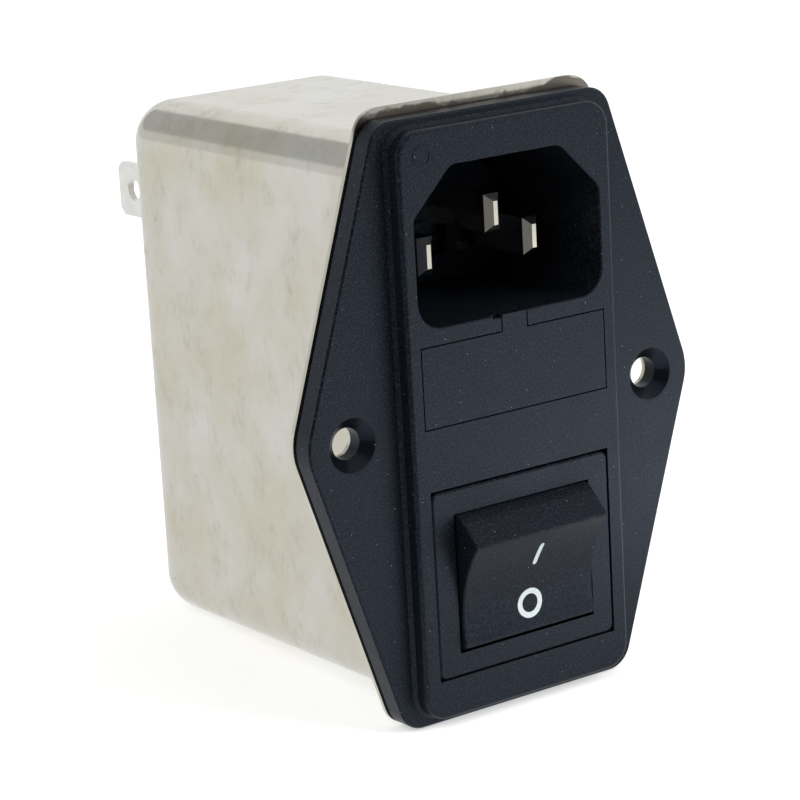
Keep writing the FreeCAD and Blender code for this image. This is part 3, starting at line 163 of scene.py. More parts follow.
class MouldingSettings(bpy.types.PropertyGroup):
    housing: colour("Housing", "Filled thermoplastic of the housing and the drawer", "#0a0c10")
    rocker: colour("Rocker", "Plastic of the rocker", "#090b0f")
    # Painted sheen: the tops of the grain are painted this paler colour for the light they catch.
    pale: colour("Pale grains", "Peaks of the texture, rubbed pale", "#2a2f39")
    sheen: colour("Sheen", "Cool tint of the light that the plastics throw back", "#c8dcfb")
    gloss: share("Gloss", "How much light the housing throws back, half for clear plastic", 0.36)
    rocker_gloss: share("Rocker gloss", "How much light the rocker throws back", 0.28)
    dust: colour("Dust", "Fine dust in the texture", "#98a0a8")
    dust_cover: share("Dust cover", "How much a dust speck hides", 0.8)
    rough: share("Roughness", "Satin of the textured plastics", 0.42)
    uneven: share("Unevenness", "How far the satin changes with the flow of the melt", 0.04)
    sink_rough: share("Countersink roughness", "Satin where a turned pin shaped the countersinks", 0.3)
    flow: length("Flow", "Width of the slow changes in the satin", 7.0)
    texture: length("Texture", "Width of the spark-eroded grains", 0.22)
    texture_deep: length("Texture depth", "Height of the grains", 0.014)
    speck: length("Dust spacing", "Distance between dust specks", 1.3)
    sink_out: length("Countersink place", "Countersinks beside the middle", HOLES["spacing_x_mm"] / 2)
    sink_wide: length("Countersink", "Outside of a countersink", 6.2)


def countersunk(tree, place, look):
    """1 inside the two countersinks and 0 outside, by the distance from the axis of each."""
    at = add(tree, "SeparateXYZ", {"Vector": place}).outputs
    beside = add(tree, "Math", {0: at["X"]}, out="Value", operation="ABSOLUTE")
    beside = add(tree, "Math", {0: beside, 1: look.sink_out}, out="Value", operation="SUBTRACT")
    spot = add(tree, "CombineXYZ", {"X": beside, "Z": at["Z"]}, out="Vector")
    away = add(tree, "VectorMath", {0: spot}, out="Value", operation="LENGTH")
    rim = look.sink_wide / 2
    return add(tree, "MapRange", {"Value": away, "From Min": 0.98 * rim, "From Max": 1.02 * rim,
                                  "To Min": 1.0, "To Max": 0.0}, out="Result")


def moulded(name, base, gloss, grains, look):
    """Moulded plastic whose tool was spark-eroded: the fine grain breaks the light into a satin
    sheen, the tops of its grains are painted a little paler for a painted sheen, slow changes in the
    sheen show the flow of the melt, and a few specks of dust sit in it. The turned countersinks are
    smoother. The grain is drawn coarser than the real one, so that it shows."""
    material, tree, place = start_material(name)
    flow = add(tree, "TexNoise", {"Vector": place, "Scale": 1 / look.flow, "Detail": 3.0}, out="Fac")
    satin = add(tree, "MapRange", {"Value": flow, "From Min": LOW, "From Max": HIGH,
                                   "To Min": look.rough - look.uneven,
                                   "To Max": look.rough + look.uneven}, out="Result")
    sink = countersunk(tree, place, look)
    satin = add(tree, "Mix", {0: sink, 2: satin, 3: look.sink_rough}, out=0)
    fine = add(tree, "TexNoise", {"Vector": place, "Scale": 1 / (grains * look.texture),
                                  "Roughness": 0.6}, out="Fac")
    kept = add(tree, "MapRange", {"Value": sink, "To Min": 1.0, "To Max": 0.1}, out="Result")
    fine = add(tree, "Math", {0: fine, 1: kept}, out="Value", operation="MULTIPLY")
    # Painted sheen: the tops of the grain are painted paler, for the light they catch.
    painted_sheen = add(tree, "MapRange", {"Value": fine, "From Min": 0.5, "From Max": 0.75}, out="Result")
    paint = add(tree, "Mix", {0: painted_sheen, 6: base, 7: look.pale}, out=2, data_type="RGBA")
    cells = add(tree, "TexVoronoi", {"Vector": place, "Scale": 1 / look.speck}, out="Distance")
    specks = add(tree, "MapRange", {"Value": cells, "From Min": 0.015, "From Max": 0.055,
                                    "To Min": look.dust_cover, "To Max": 0.0}, out="Result")
    paint = add(tree, "Mix", {0: specks, 6: paint, 7: look.dust}, out=2, data_type="RGBA")
    bump = add(tree, "Bump", {"Height": fine, "Distance": grains * look.texture_deep}, out="Normal")
    bump = add(tree, "Bump", {"Height": flow, "Distance": 3 * look.texture_deep, "Normal": bump},
               out="Normal")
    end_material(tree, {"Base Color": paint, "Roughness": satin, "Normal": bump,
                        "Specular IOR Level": gloss, "Specular Tint": look.sheen})
    return material


class INLET_OT_mouldings(bpy.types.Operator):
    """Finish the housing, the drawer, the switch frame, the rocker and the bushes"""

    bl_idname = "inlet.mouldings"
    bl_label = "Finish the mouldings"

    def execute(self, context):
        look = context.scene.inlet_mouldings
        housing = moulded("filled_polyester_spark_eroded", look.housing, look.gloss, 1.0, look)
        finish(housing, "front_housing", "contact_carrier", "fuse_drawer", "switch_frame",
               "line_bush", "neutral_bush")
        rocker = moulded("nylon_fine_spark_eroded", look.rocker, look.rocker_gloss, 0.8, look)
        finish(rocker, "rocker")
        return {"FINISHED"}


# ---------------------------------------------------------------- plated metal


class PlatingSettings(bpy.types.PropertyGroup):
    can: colour("Can", "Nickel plate on the drawn can", "#dddcd5")
    stain: colour("Stain", "Thin brownish tarnish on the can", "#d4cfbe")
    streak: colour("Streak", "Grey flecks rubbed into the plate", "#b2b19d")
    pin: colour("Pin", "Nickel plate on the pins", "#e4e0d4")
    blade: colour("Blade", "Nickel plate on the rear blades", "#f2f2ee")
    can_rough: share("Can roughness", "Satin of the drawn can", 0.13)
    pin_rough: share("Pin roughness", "Sheen of the pins and blades", 0.16)
    cloud: length("Cloud", "Width of the tarnish clouds", 11.0)
    fleck: length("Fleck", "Width of the rubbed flecks", 0.7)
    scratch: length("Scratch", "Spacing of the drawing scratches", 0.35)
    # A dark brownish band painted along the front of the can's flange, where it meets the moulded
    # flange.
    dark_band: colour("Sealant", "Brownish sealant smeared along the front of the can's flange", "#6f675f")
    band_cover: share("Sealant cover", "How much of the plate the sealant hides", 0.85)
    band_wave: length("Sealant wave", "Width of the waves in the sealant's edge", 5.0)
    band_short: length("Sealant short", "How far the edge falls below the moulded flange's top", 0.6)
    band_long: length("Sealant long", "How far the edge rises above it", 1.3)
    band_fade: length("Sealant fade", "Width of the soft edge", 0.25)
    band_foot: length("Sealant foot", "How far the sealant goes down behind the moulded flange", 1.0)
    band_skin: length("Sealant skin", "How far it goes into the can's flange from the front", 0.1)


def dark_band_mask(tree, place, look):
    """How much the dark brownish band covers a place. It lies on the front of the can's flange,
    from behind the moulded flange's top upwards, and its upper edge wanders a little below and above
    that top."""
    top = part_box("front_housing")[1].z
    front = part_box("filter_can")[0].y
    at = add(tree, "SeparateXYZ", {"Vector": place}).outputs
    waves = add(tree, "TexNoise", {"Vector": place, "Scale": 1 / look.band_wave, "Detail": 3.0},
                out="Fac")
    edge = add(tree, "MapRange", {"Value": waves, "From Min": LOW, "From Max": HIGH,
                                  "To Min": -look.band_short, "To Max": look.band_long}, out="Result")
    rise = add(tree, "Math", {0: at["Z"], 1: edge}, out="Value", operation="SUBTRACT")
    below = add(tree, "MapRange", {"Value": rise, "From Min": top, "From Max": top + look.band_fade,
                                   "To Min": 1.0, "To Max": 0.0}, out="Result")
    above = add(tree, "MapRange", {"Value": at["Z"], "From Min": top - 2 * look.band_foot,
                                   "From Max": top - look.band_foot}, out="Result")
    before = add(tree, "MapRange", {"Value": at["Y"], "From Min": front + look.band_skin,
                                    "From Max": front + 3 * look.band_skin,
                                    "To Min": look.band_cover, "To Max": 0.0}, out="Result")
    band_mask = add(tree, "Math", {0: below, 1: before}, out="Value", operation="MULTIPLY")
    return add(tree, "Math", {0: band_mask, 1: above}, out="Value", operation="MULTIPLY")


def drawn_nickel(name, look):
    """Nickel-plated sheet, deep drawn: faint brownish clouds warm it, smudges of fine flecks lie
    where it was rubbed, and fine scratches run the way the can was pulled through its die. The
    scratches are drawn wider apart than the real ones, so that they show."""
    material, tree, place = start_material(name)
    clouds = add(tree, "TexNoise", {"Vector": place, "Scale": 1 / look.cloud, "Detail": 3.0,
                                    "Roughness": 0.6}, out="Fac")
    tarnish = add(tree, "MapRange", {"Value": clouds, "From Min": 0.36, "From Max": 0.66}, out="Result")
    tall = add(tree, "Mapping", {"Vector": place, "Scale": (1.0, 1.0, 0.7)}, out="Vector")
    smudges = add(tree, "TexNoise", {"Vector": tall, "Scale": 1 / (0.35 * look.cloud), "Detail": 3.0,
                                     "Roughness": 0.65}, out="Fac")
    smudges = add(tree, "MapRange", {"Value": smudges, "From Min": 0.48, "From Max": 0.72,
                                     "To Min": 0.05, "To Max": 0.75}, out="Result")
    taller = add(tree, "Mapping", {"Vector": place, "Scale": (1.0, 1.0, 0.5)}, out="Vector")
    flecks = add(tree, "TexNoise", {"Vector": taller, "Scale": 1 / look.fleck, "Detail": 4.0,
                                    "Roughness": 0.7}, out="Fac")
    flecks = add(tree, "MapRange", {"Value": flecks, "From Min": 0.42, "From Max": 0.72,
                                    "To Min": 0.15}, out="Result")
    rubbed = add(tree, "Math", {0: flecks, 1: smudges}, out="Value", operation="MULTIPLY")
    band_mask = dark_band_mask(tree, place, look)
    paint = add(tree, "Mix", {0: tarnish, 6: look.can, 7: look.stain}, out=2, data_type="RGBA")
    paint = add(tree, "Mix", {0: rubbed, 6: paint, 7: look.streak}, out=2, data_type="RGBA")
    # Paint the dark brownish band over the plate along the front of the flange.
    paint = add(tree, "Mix", {0: band_mask, 6: paint, 7: look.dark_band}, out=2, data_type="RGBA")
    dull = add(tree, "Math", {0: rubbed, 1: band_mask}, out="Value", operation="MAXIMUM")
    satin = add(tree, "MapRange", {"Value": dull, "From Max": 0.6, "To Min": look.can_rough,
                                   "To Max": look.can_rough + 0.2}, out="Result")
    pulled = add(tree, "Mapping", {"Vector": place, "Scale": (1.0, 0.03, 1.0)}, out="Vector")
    lines = add(tree, "TexNoise", {"Vector": pulled, "Scale": 1 / look.scratch}, out="Fac")
    bump = add(tree, "Bump", {"Height": lines, "Distance": 0.0006 * MM}, out="Normal")
    bump = add(tree, "Bump", {"Height": clouds, "Distance": 0.012 * MM, "Normal": bump}, out="Normal")
    end_material(tree, {"Base Color": paint, "Roughness": satin, "Normal": bump, "Metallic": 1.0})
    return material


def plated(name, plate, rough):
    """Bright nickel on stamped strip, or bare strip or wire: a soft mirror, duller and darker where
    it was handled, with the fine lines of rolling."""
    material, tree, place = start_material(name)
    handled = add(tree, "TexNoise", {"Vector": place, "Scale": 1 / (1.5 * MM), "Detail": 3.0}, out="Fac")
    shade = add(tree, "MapRange", {"Value": handled, "From Min": LOW, "From Max": HIGH,
                                   "To Max": 0.5}, out="Result")
    paint = add(tree, "Mix", {0: shade, 6: plate, 7: darkened(plate, 0.8)}, out=2, data_type="RGBA")
    satin = add(tree, "MapRange", {"Value": handled, "From Min": LOW, "From Max": HIGH,
                                   "To Min": rough - 0.05, "To Max": rough + 0.08}, out="Result")
    rolled = add(tree, "Mapping", {"Vector": place, "Scale": (1.0, 0.05, 1.0)}, out="Vector")
    lines = add(tree, "TexNoise", {"Vector": rolled, "Scale": 1 / (0.12 * MM)}, out="Fac")
    bump = add(tree, "Bump", {"Height": lines, "Distance": 0.001 * MM}, out="Normal")
    end_material(tree, {"Base Color": paint, "Roughness": satin, "Normal": bump, "Metallic": 1.0})
    return material


class INLET_OT_plating(bpy.types.Operator):
    """Finish the can, the pins, the rear blades and the switch terminals"""

    bl_idname = "inlet.plating"
    bl_label = "Finish the plated metal"

    def execute(self, context):
        look = context.scene.inlet_plating
        finish(drawn_nickel("nickel_plate_deep_drawn", look), "filter_can")
        pins = plated("nickel_plate_stamped_pins", look.pin, look.pin_rough)
        finish(pins, "line_pin", "neutral_pin", "earth_pin")
        blades = plated("nickel_plate_stamped_blades", look.blade, look.pin_rough)
        finish(blades, "line_tab", "neutral_tab", "earth_tab", "earth_rivet",
               "centre_terminal_left", "centre_terminal_right",
               "fixed_terminal_left", "fixed_terminal_right")
        return {"FINISHED"}


# ---------------------------------------------------------------- inner pieces


class InnerSettings(bpy.types.PropertyGroup):
    brass: colour("Brass", "Bare brass strip of the clips and levers", "#d8b46a")
    steel: colour("Steel", "Spring wire", "#b4b4b0")
    cap: colour("Cap", "Plated fuse caps", "#dcdad4")
    glass: colour("Glass", "Clear fuse glass", "#f4f8f7")
    glass_thick: colour("Thick glass", "Fuse glass where its wall is thicker", "#e6efed")
    laminate: colour("Laminate", "Resin-bonded board", "#b39a5c")
    laminate_dark: colour("Laminate fibres", "Darker fibres of the board", "#8f7740")
    pressboard: colour("Pressboard", "Insulating liner", "#ddd2b4")
    ferrite: colour("Ferrite", "Coated choke core", "#2b2b2c")
    nylon: colour("Nylon", "Natural nylon of the separator and plungers", "#dedbd0")
    copper: colour("Copper", "Enamelled winding wire", "#a8562c")
    yellow: colour("Film capacitor", "Case of the X capacitor", "#e2b733")
    blue: colour("Disc capacitor", "Dipped lacquer of the Y capacitors", "#2f6db5")
    resistor: colour("Resistor", "Lacquered resistor body", "#d3c097")
    brown_lead: colour("Brown lead", "Insulation of the line leads", "#5b3219")
    blue_lead: colour("Blue lead", "Insulation of the neutral leads", "#2556a6")
    green_lead: colour("Green lead", "Insulation of the earth lead", "#5f9a33")
    wire: length("Winding wire", "Diameter of the winding wire", 0.8)
    fibre: length("Laminate fibre", "Width of the board's fibres", 0.5)


def coated(name, base, rough, lump, deep, inputs=None):
    """Lacquer, dip or insulation: one even colour with the soft unevenness of a coat that ran."""
    material, tree, place = start_material(name)
    coat = add(tree, "TexNoise", {"Vector": place, "Scale": 1 / lump}, out="Fac")
    shade = add(tree, "MapRange", {"Value": coat, "From Min": LOW, "From Max": HIGH}, out="Result")
    paint = add(tree, "Mix", {0: shade, 6: base, 7: darkened(base, 0.82)}, out=2, data_type="RGBA")
    satin = add(tree, "MapRange", {"Value": coat, "From Min": LOW, "From Max": HIGH,
                                   "To Min": rough - 0.05, "To Max": rough + 0.05}, out="Result")
    bump = add(tree, "Bump", {"Height": coat, "Distance": deep}, out="Normal")
    end_material(tree, {"Base Color": paint, "Roughness": satin, "Normal": bump, **(inputs or {})})
    return material


def wound(name, base, wire):
    """Enamelled wire wound close: ridges fan out from the middle of the core, one for each turn, with
    painted shade in the grooves.
    """
    material, tree, place = start_material(name)
    low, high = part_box("choke_core")
    middle = (low.z + high.z) / 2
    at = add(tree, "SeparateXYZ", {"Vector": place}).outputs
    rise = add(tree, "Math", {0: at["Z"], 1: middle}, out="Value", operation="SUBTRACT")
    angle = add(tree, "Math", {0: rise, 1: at["X"]}, out="Value", operation="ARCTAN2")
    turns = add(tree, "Math", {0: angle, 1: 2 * math.pi * (high.z - middle) / wire}, out="Value",
                operation="MULTIPLY")
    ridge = add(tree, "Math", {0: turns}, out="Value", operation="SINE")
    # Painted shade: the grooves between the turns are painted darker.
    between = add(tree, "MapRange", {"Value": ridge, "From Min": -1.0, "From Max": 0.2,
                                     "To Min": 1.0, "To Max": 0.0}, out="Result")
    paint = add(tree, "Mix", {0: between, 6: base, 7: darkened(base, 0.35)}, out=2, data_type="RGBA")
    bump = add(tree, "Bump", {"Height": ridge, "Distance": wire / 4}, out="Normal")
    end_material(tree, {"Base Color": paint, "Roughness": 0.3, "Normal": bump, "Metallic": 1.0})
    return material


def clear_glass(name, look):
    """Drawn glass tube: clear, with slow waves along its length."""
    material, tree, place = start_material(name)
    drawn = add(tree, "Mapping", {"Vector": place, "Scale": (1.0, 3.0, 3.0)}, out="Vector")
    waves = add(tree, "TexNoise", {"Vector": drawn, "Scale": 1 / (2 * MM)}, out="Fac")
    paint = add(tree, "Mix", {0: waves, 6: look.glass, 7: look.glass_thick}, out=2, data_type="RGBA")
    bump = add(tree, "Bump", {"Height": waves, "Distance": 0.01 * MM}, out="Normal")
    end_material(tree, {"Base Color": paint, "Roughness": 0.03, "Normal": bump, "IOR": 1.5,
                        "Transmission Weight": 1.0})
    return material


def pressed_laminate(name, look):
    """Paper laminate, pressed: long pale and dark fibres lie across each other under the resin."""
    material, tree, place = start_material(name)
    layers = []
    for along in ((0.12, 1.0, 1.0), (1.0, 1.0, 0.12)):
        drawn = add(tree, "Mapping", {"Vector": place, "Scale": along}, out="Vector")
        layers.append(add(tree, "TexNoise", {"Vector": drawn, "Scale": 1 / look.fibre, "Detail": 3.0},
                          out="Fac"))
    fibres = add(tree, "Math", {0: layers[0], 1: layers[1]}, out="Value", operation="MULTIPLY")
    dark = add(tree, "MapRange", {"Value": fibres, "From Min": 0.15, "From Max": 0.35}, out="Result")
    paint = add(tree, "Mix", {0: dark, 6: look.laminate, 7: look.laminate_dark}, out=2,
                data_type="RGBA")
    bump = add(tree, "Bump", {"Height": fibres, "Distance": 0.01 * MM}, out="Normal")
    end_material(tree, {"Base Color": paint, "Roughness": 0.42, "Normal": bump})
    return material


class INLET_OT_inner_parts(bpy.types.Operator):
    """Finish the fuses, the switch contacts and the filter behind the front"""

    bl_idname = "inlet.inner_parts"
    bl_label = "Finish the inner parts"

    def execute(self, context):
        look = context.scene.inlet_inner
        finish(plated("brass_strip_rolled", look.brass, 0.3), "fuse_clip_left", "fuse_clip_right",
               "contact_lever_left", "contact_lever_right")
        finish(plated("spring_wire_drawn", look.steel, 0.3), "plunger_springs", "fuse_wire",
               "spare_fuse_wire")
        finish(plated("nickel_plate_fuse_caps", look.cap, 0.2), "fuse_caps", "spare_fuse_caps")
        finish(clear_glass("glass_drawn_tube", look), "fuse_tube", "spare_fuse_tube")
        finish(wound("copper_enamelled_wound", look.copper, look.wire), "line_winding",
               "neutral_winding")
        finish(pressed_laminate("paper_laminate_pressed", look), "filter_board")
        nylon = coated("nylon_natural_moulded", look.nylon, 0.45, 2 * MM, 0.02 * MM,
                       {"Subsurface Weight": 0.1, "Subsurface Scale": 1 * MM})
        finish(nylon, "choke_separator", "plungers")
        # Each coat's name, colour, roughness, width and height of its lumps in mm, and nodes.
        for name, base, rough, lump, deep, nodes in (
                ("pressboard_calendered", look.pressboard, 0.75, 0.6, 0.02, ["insulating_liner"]),
                ("ferrite_epoxy_coated", look.ferrite, 0.4, 1.2, 0.05, ["choke_core"]),
                ("film_capacitor_moulded_case", look.yellow, 0.3, 3.0, 0.01, ["x_capacitor"]),
                ("ceramic_disc_lacquer_dipped", look.blue, 0.25, 1.5, 0.06,
                 ["line_y_capacitor", "neutral_y_capacitor"]),
                ("resistor_lacquered", look.resistor, 0.35, 1.0, 0.03, ["bleed_resistor"]),
                ("vinyl_extruded_brown", look.brown_lead, 0.45, 1.0, 0.01,
                 ["line_lead", "fused_line_lead", "switched_line_lead"]),
                ("vinyl_extruded_blue", look.blue_lead, 0.45, 1.0, 0.01,
                 ["neutral_lead", "switched_neutral_lead"]),
                ("vinyl_extruded_green", look.green_lead, 0.45, 1.0, 0.01, ["earth_lead"])):
            finish(coated(name, base, rough, lump * MM, deep * MM), *nodes)
        return {"FINISHED"}


# ---------------------------------------------------------------- marks


class MarkSettings(bpy.types.PropertyGroup):
    ink: colour("Mark", "Bluish white of the two switch marks", "#d0dadd")
    bar_tall: length("Bar height", "Height of the on mark", 2.5)
    bar_wide: length("Bar width", "Width of the on mark", 0.55)
    bar_up: length("Bar place", "On mark above the rocker's middle", 1.6)
    bar_lean: length("Bar lean", "How far the on mark's top leans to the right", 0.45)
    bar_out: length("Bar offset", "On mark to the right of the rocker's middle", 0.5)
    ring_out: length("Ring radius", "Outside of the off mark", 1.66)
    ring_wide: length("Ring width", "Stroke of the off mark", 0.62)
    ring_across: length("Ring offset", "Off mark to the right of the rocker's middle", 0.1)
    ring_up: length("Ring place", "Off mark above the rocker's middle", -4.1)
    proud: length("Thickness", "How far a mark stands out of the face", 0.015)
    sunk: length("Depth", "How far a mark goes into the face", 0.05)


def face_point(node, across, up):
    """The point of a node's front at this place, with its outward normal."""
    hit, spot, normal, _ = node.ray_cast(Vector((across, -1.0, up)), Vector((0, 1, 0)))
    if not hit:
        raise RuntimeError(f"{node.name} has no face there")
    return spot, normal


def strip_solid(name, node, rails, closed, proud, sunk):
    """A thin closed solid over a node's face, between two rails of places across and up."""
    shape = bmesh.new()
    outward = shape.verts.layers.float_vector.new("outward")
    for rail in rails:
        spots = []
        for place in rail:
            spot, normal = face_point(node, *place)
            spots.append(shape.verts.new(spot + normal * proud))
            spots[-1][outward] = normal
        following = spots[1:] + spots[:1] if closed else spots[1:]
        for spot, after in zip(spots, following):
            shape.edges.new((spot, after))
    bmesh.ops.bridge_loops(shape, edges=shape.edges[:])
    back = bmesh.ops.extrude_face_region(shape, geom=shape.faces[:], use_keep_orig=True)["geom"]
    for spot in back:
        if isinstance(spot, bmesh.types.BMVert):
            spot.co -= spot[outward] * (proud + sunk)
    bmesh.ops.recalc_face_normals(shape, faces=shape.faces[:])
    shape.verts.layers.float_vector.remove(outward)
    mesh = bpy.data.meshes.new(name)
    shape.to_mesh(mesh)
    shape.free()
    piece = bpy.data.objects.new(name, mesh)
    bpy.context.scene.collection.objects.link(piece)
    return piece


def bar_rails(across, up, tall, wide, lean, steps=16):
    """Left and right rail of a leaning stroke with round ends, from its foot to its head."""
    left, right = [], []
    for step in range(steps + 1):
        rise = -math.cos(math.pi * step / steps) * tall / 2
        end = max(0.0, abs(rise) - (tall - wide) / 2)
        half = max(math.sqrt(max(0.0, (wide / 2) ** 2 - end ** 2)), 0.1 * wide)
        middle = across + lean * rise / tall
        left.append((middle - half, up + rise))
        right.append((middle + half, up + rise))
    return left, right


def ring_rails(across, up, outside, wide, steps=48):
    """Outer and inner rail of a ring."""
    turns = [2 * math.pi * step / steps for step in range(steps)]
    return [[(across + radius * math.cos(turn), up + radius * math.sin(turn)) for turn in turns]
            for radius in (outside, outside - wide)]


def pad_printed(name, ink):
    """Pad-printed ink: an even bluish white, a touch thin where the pad lifted off."""
    material, tree, place = start_material(name)
    film = add(tree, "TexNoise", {"Vector": place, "Scale": 1 / (0.3 * MM)}, out="Fac")
    thin = add(tree, "MapRange", {"Value": film, "From Min": 0.45, "From Max": 0.75,
                                  "To Max": 0.6}, out="Result")
    paint = add(tree, "Mix", {0: thin, 6: ink, 7: darkened(ink, 0.75)}, out=2, data_type="RGBA")
    bump = add(tree, "Bump", {"Height": film, "Distance": 0.002 * MM}, out="Normal")
    end_material(tree, {"Base Color": paint, "Roughness": 0.4, "Normal": bump})
    return material


class INLET_OT_switch_marks(bpy.types.Operator):
    """Lay the on and off marks on the rocker's face"""

    bl_idname = "inlet.switch_marks"
    bl_label = "Add the switch marks"

    def execute(self, context):
        look = context.scene.inlet_marks
        low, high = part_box("rocker")
        middle = (low.z + high.z) / 2
        ink = pad_printed("epoxy_ink_pad_printed", look.ink)
        bar = bar_rails(look.bar_out, middle + look.bar_up, look.bar_tall, look.bar_wide,
                        look.bar_lean)
        ring = ring_rails(look.ring_across, middle + look.ring_up, look.ring_out, look.ring_wide)
        for name, rails, closed in (("on_mark", bar, False), ("off_mark", ring, True)):
            piece = strip_solid(name, NODES["rocker"], rails, closed, look.proud, look.sunk)
            piece.data.materials.append(ink)
            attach(piece, "rocker")
        return {"FINISHED"}


class RingSettings(bpy.types.PropertyGroup):
    across: length("Across", "Moulding ring to the right of the middle", -10.8)
    up: length("Up", "Moulding ring above the holes", 28.8)
    radius: length("Radius", "Outside of the moulding ring", 1.1)
    wide: length("Width", "Width of the ring's line", 0.14)
    proud: length("Height", "How far the line stands out", 0.05)


class INLET_OT_moulding_ring(bpy.types.Operator):
    """Add the fine raised ring that a tool pin left beside the plug cavity"""

    bl_idname = "inlet.moulding_ring"
    bl_label = "Add the moulding ring"

    def execute(self, context):
        look = context.scene.inlet_ring
        housing = NODES["front_housing"]
        rails = ring_rails(look.across, look.up, look.radius, look.wide)
        piece = strip_solid("moulding_ring", housing, rails, True, look.proud, look.proud)
        piece.data.materials.append(housing.material_slots[0].material)
        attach(piece, "inlet")
        return {"FINISHED"}


# ---------------------------------------------------------------- stage


class StageSettings(bpy.types.PropertyGroup):
    camera_spot: point("Camera", "Place of the camera", (-0.18863, -0.24873, 0.08047))
    camera_target: point("Target", "Point in the middle of the picture", (-0.01516, -0.0053, 0.00425))
    camera_roll: bpy.props.FloatProperty(
        name="Roll", description="Turn of the camera about its line of sight", subtype="ANGLE",
        unit="ROTATION", default=math.radians(-3.24))
    lens: bpy.props.FloatProperty(
        name="Lens", description="Focal length of the camera", subtype="DISTANCE_CAMERA",
        unit="CAMERA", default=135.9)
    key_spot: point("Key place", "Place of the softbox at the right", (0.45, -0.55, 0.35))
    key_power: power("Key light", "Power of the softbox at the right", 5.0)
    fill_spot: point("Fill place", "Place of the softbox at the left", (-0.6, -0.2, 0.5))
    fill_power: power("Fill light", "Power of the softbox at the left", 2.0)
    softbox_wide: length("Softbox", "Width of both softboxes", 500.0)
    room: share("Room", "Even light from all round", 0.55)
    wall: share("Walls", "What the gloss sees all round", 0.86)
    wall_near: share("Wall behind the camera", "What the gloss sees around the camera", 0.06)
    wall_way: way("Dark side", "Towards the middle of the dark side of the room", (-0.82, -0.57, 0.0))
    panel: share("Panel", "What the gloss sees of the dark panel", 0.47)
    panel_foot: share("Below the panel", "What the gloss sees of the wall below the panel", 0.688)
    ceiling: share("Ceiling", "What the gloss sees overhead", 0.6)
    floor: colour("Floor", "Pale paper floor", "#f0f0ef")
    floor_fibres: colour("Floor fibres", "Fibres in the paper", "#ebebea")
    burn: share("Burn", "How far the camera burns the floor out to white", 0.46)
    floor_far: share("Floor behind", "Floor behind and beside the object, as gloss shows it", 0.8)
    floor_front: level("Floor in front", "Floor before the object, as gloss shows it", 1.05)
    floor_near: share("Floor by the camera", "Floor at the camera, as gloss shows it", 0.15)
    floor_way: way("Floor's dark side", "Towards the dark side of the floor", (-0.72, -0.69, 0.0))
    pool: level("Pool", "Brightest of the lamplight on the floor at the right, as gloss shows it", 2.4)
    pool_spot: point("Pool place", "Middle of the lamplight", (0.085, -0.055, CAD_BOX[0].z))
    rest_in: length("Rest, inwards", "Where the can's round rear edge rests, before its rear", 4.0)
    rest_up: length("Rest, upwards", "Height of that place above the holes", -30.3)
    floor_half: length("Floor size", "From the middle of the floor to its edges", 3000.0)
    floor_gap: length("Floor gap", "Between the object and the floor", 0.05)


def look_at(spot, target, roll):
    """The placing of something at a spot that looks along its own -Z at a target."""
    back = (spot - target).normalized()
    right = Vector((0, 0, 1)).cross(back).normalized()
    up = back.cross(right)
    turn = Matrix.Rotation(roll, 3, back)
    frame_axes = Matrix((turn @ right, turn @ up, back)).transposed()
    return Matrix.Translation(spot) @ frame_axes.to_4x4()


def softbox(name, spot, size, watts):
    """A square lamp that looks at the object and doesn't show in its gloss."""
    light = bpy.data.lights.new(name, "AREA")
    light.shape = "SQUARE"
    light.size = size
    light.energy = watts
    holder = bpy.data.objects.new(name, light)
    holder.matrix_world = look_at(Vector(spot), Vector(), 0.0)
    holder.visible_glossy = False
    bpy.context.scene.collection.objects.link(holder)


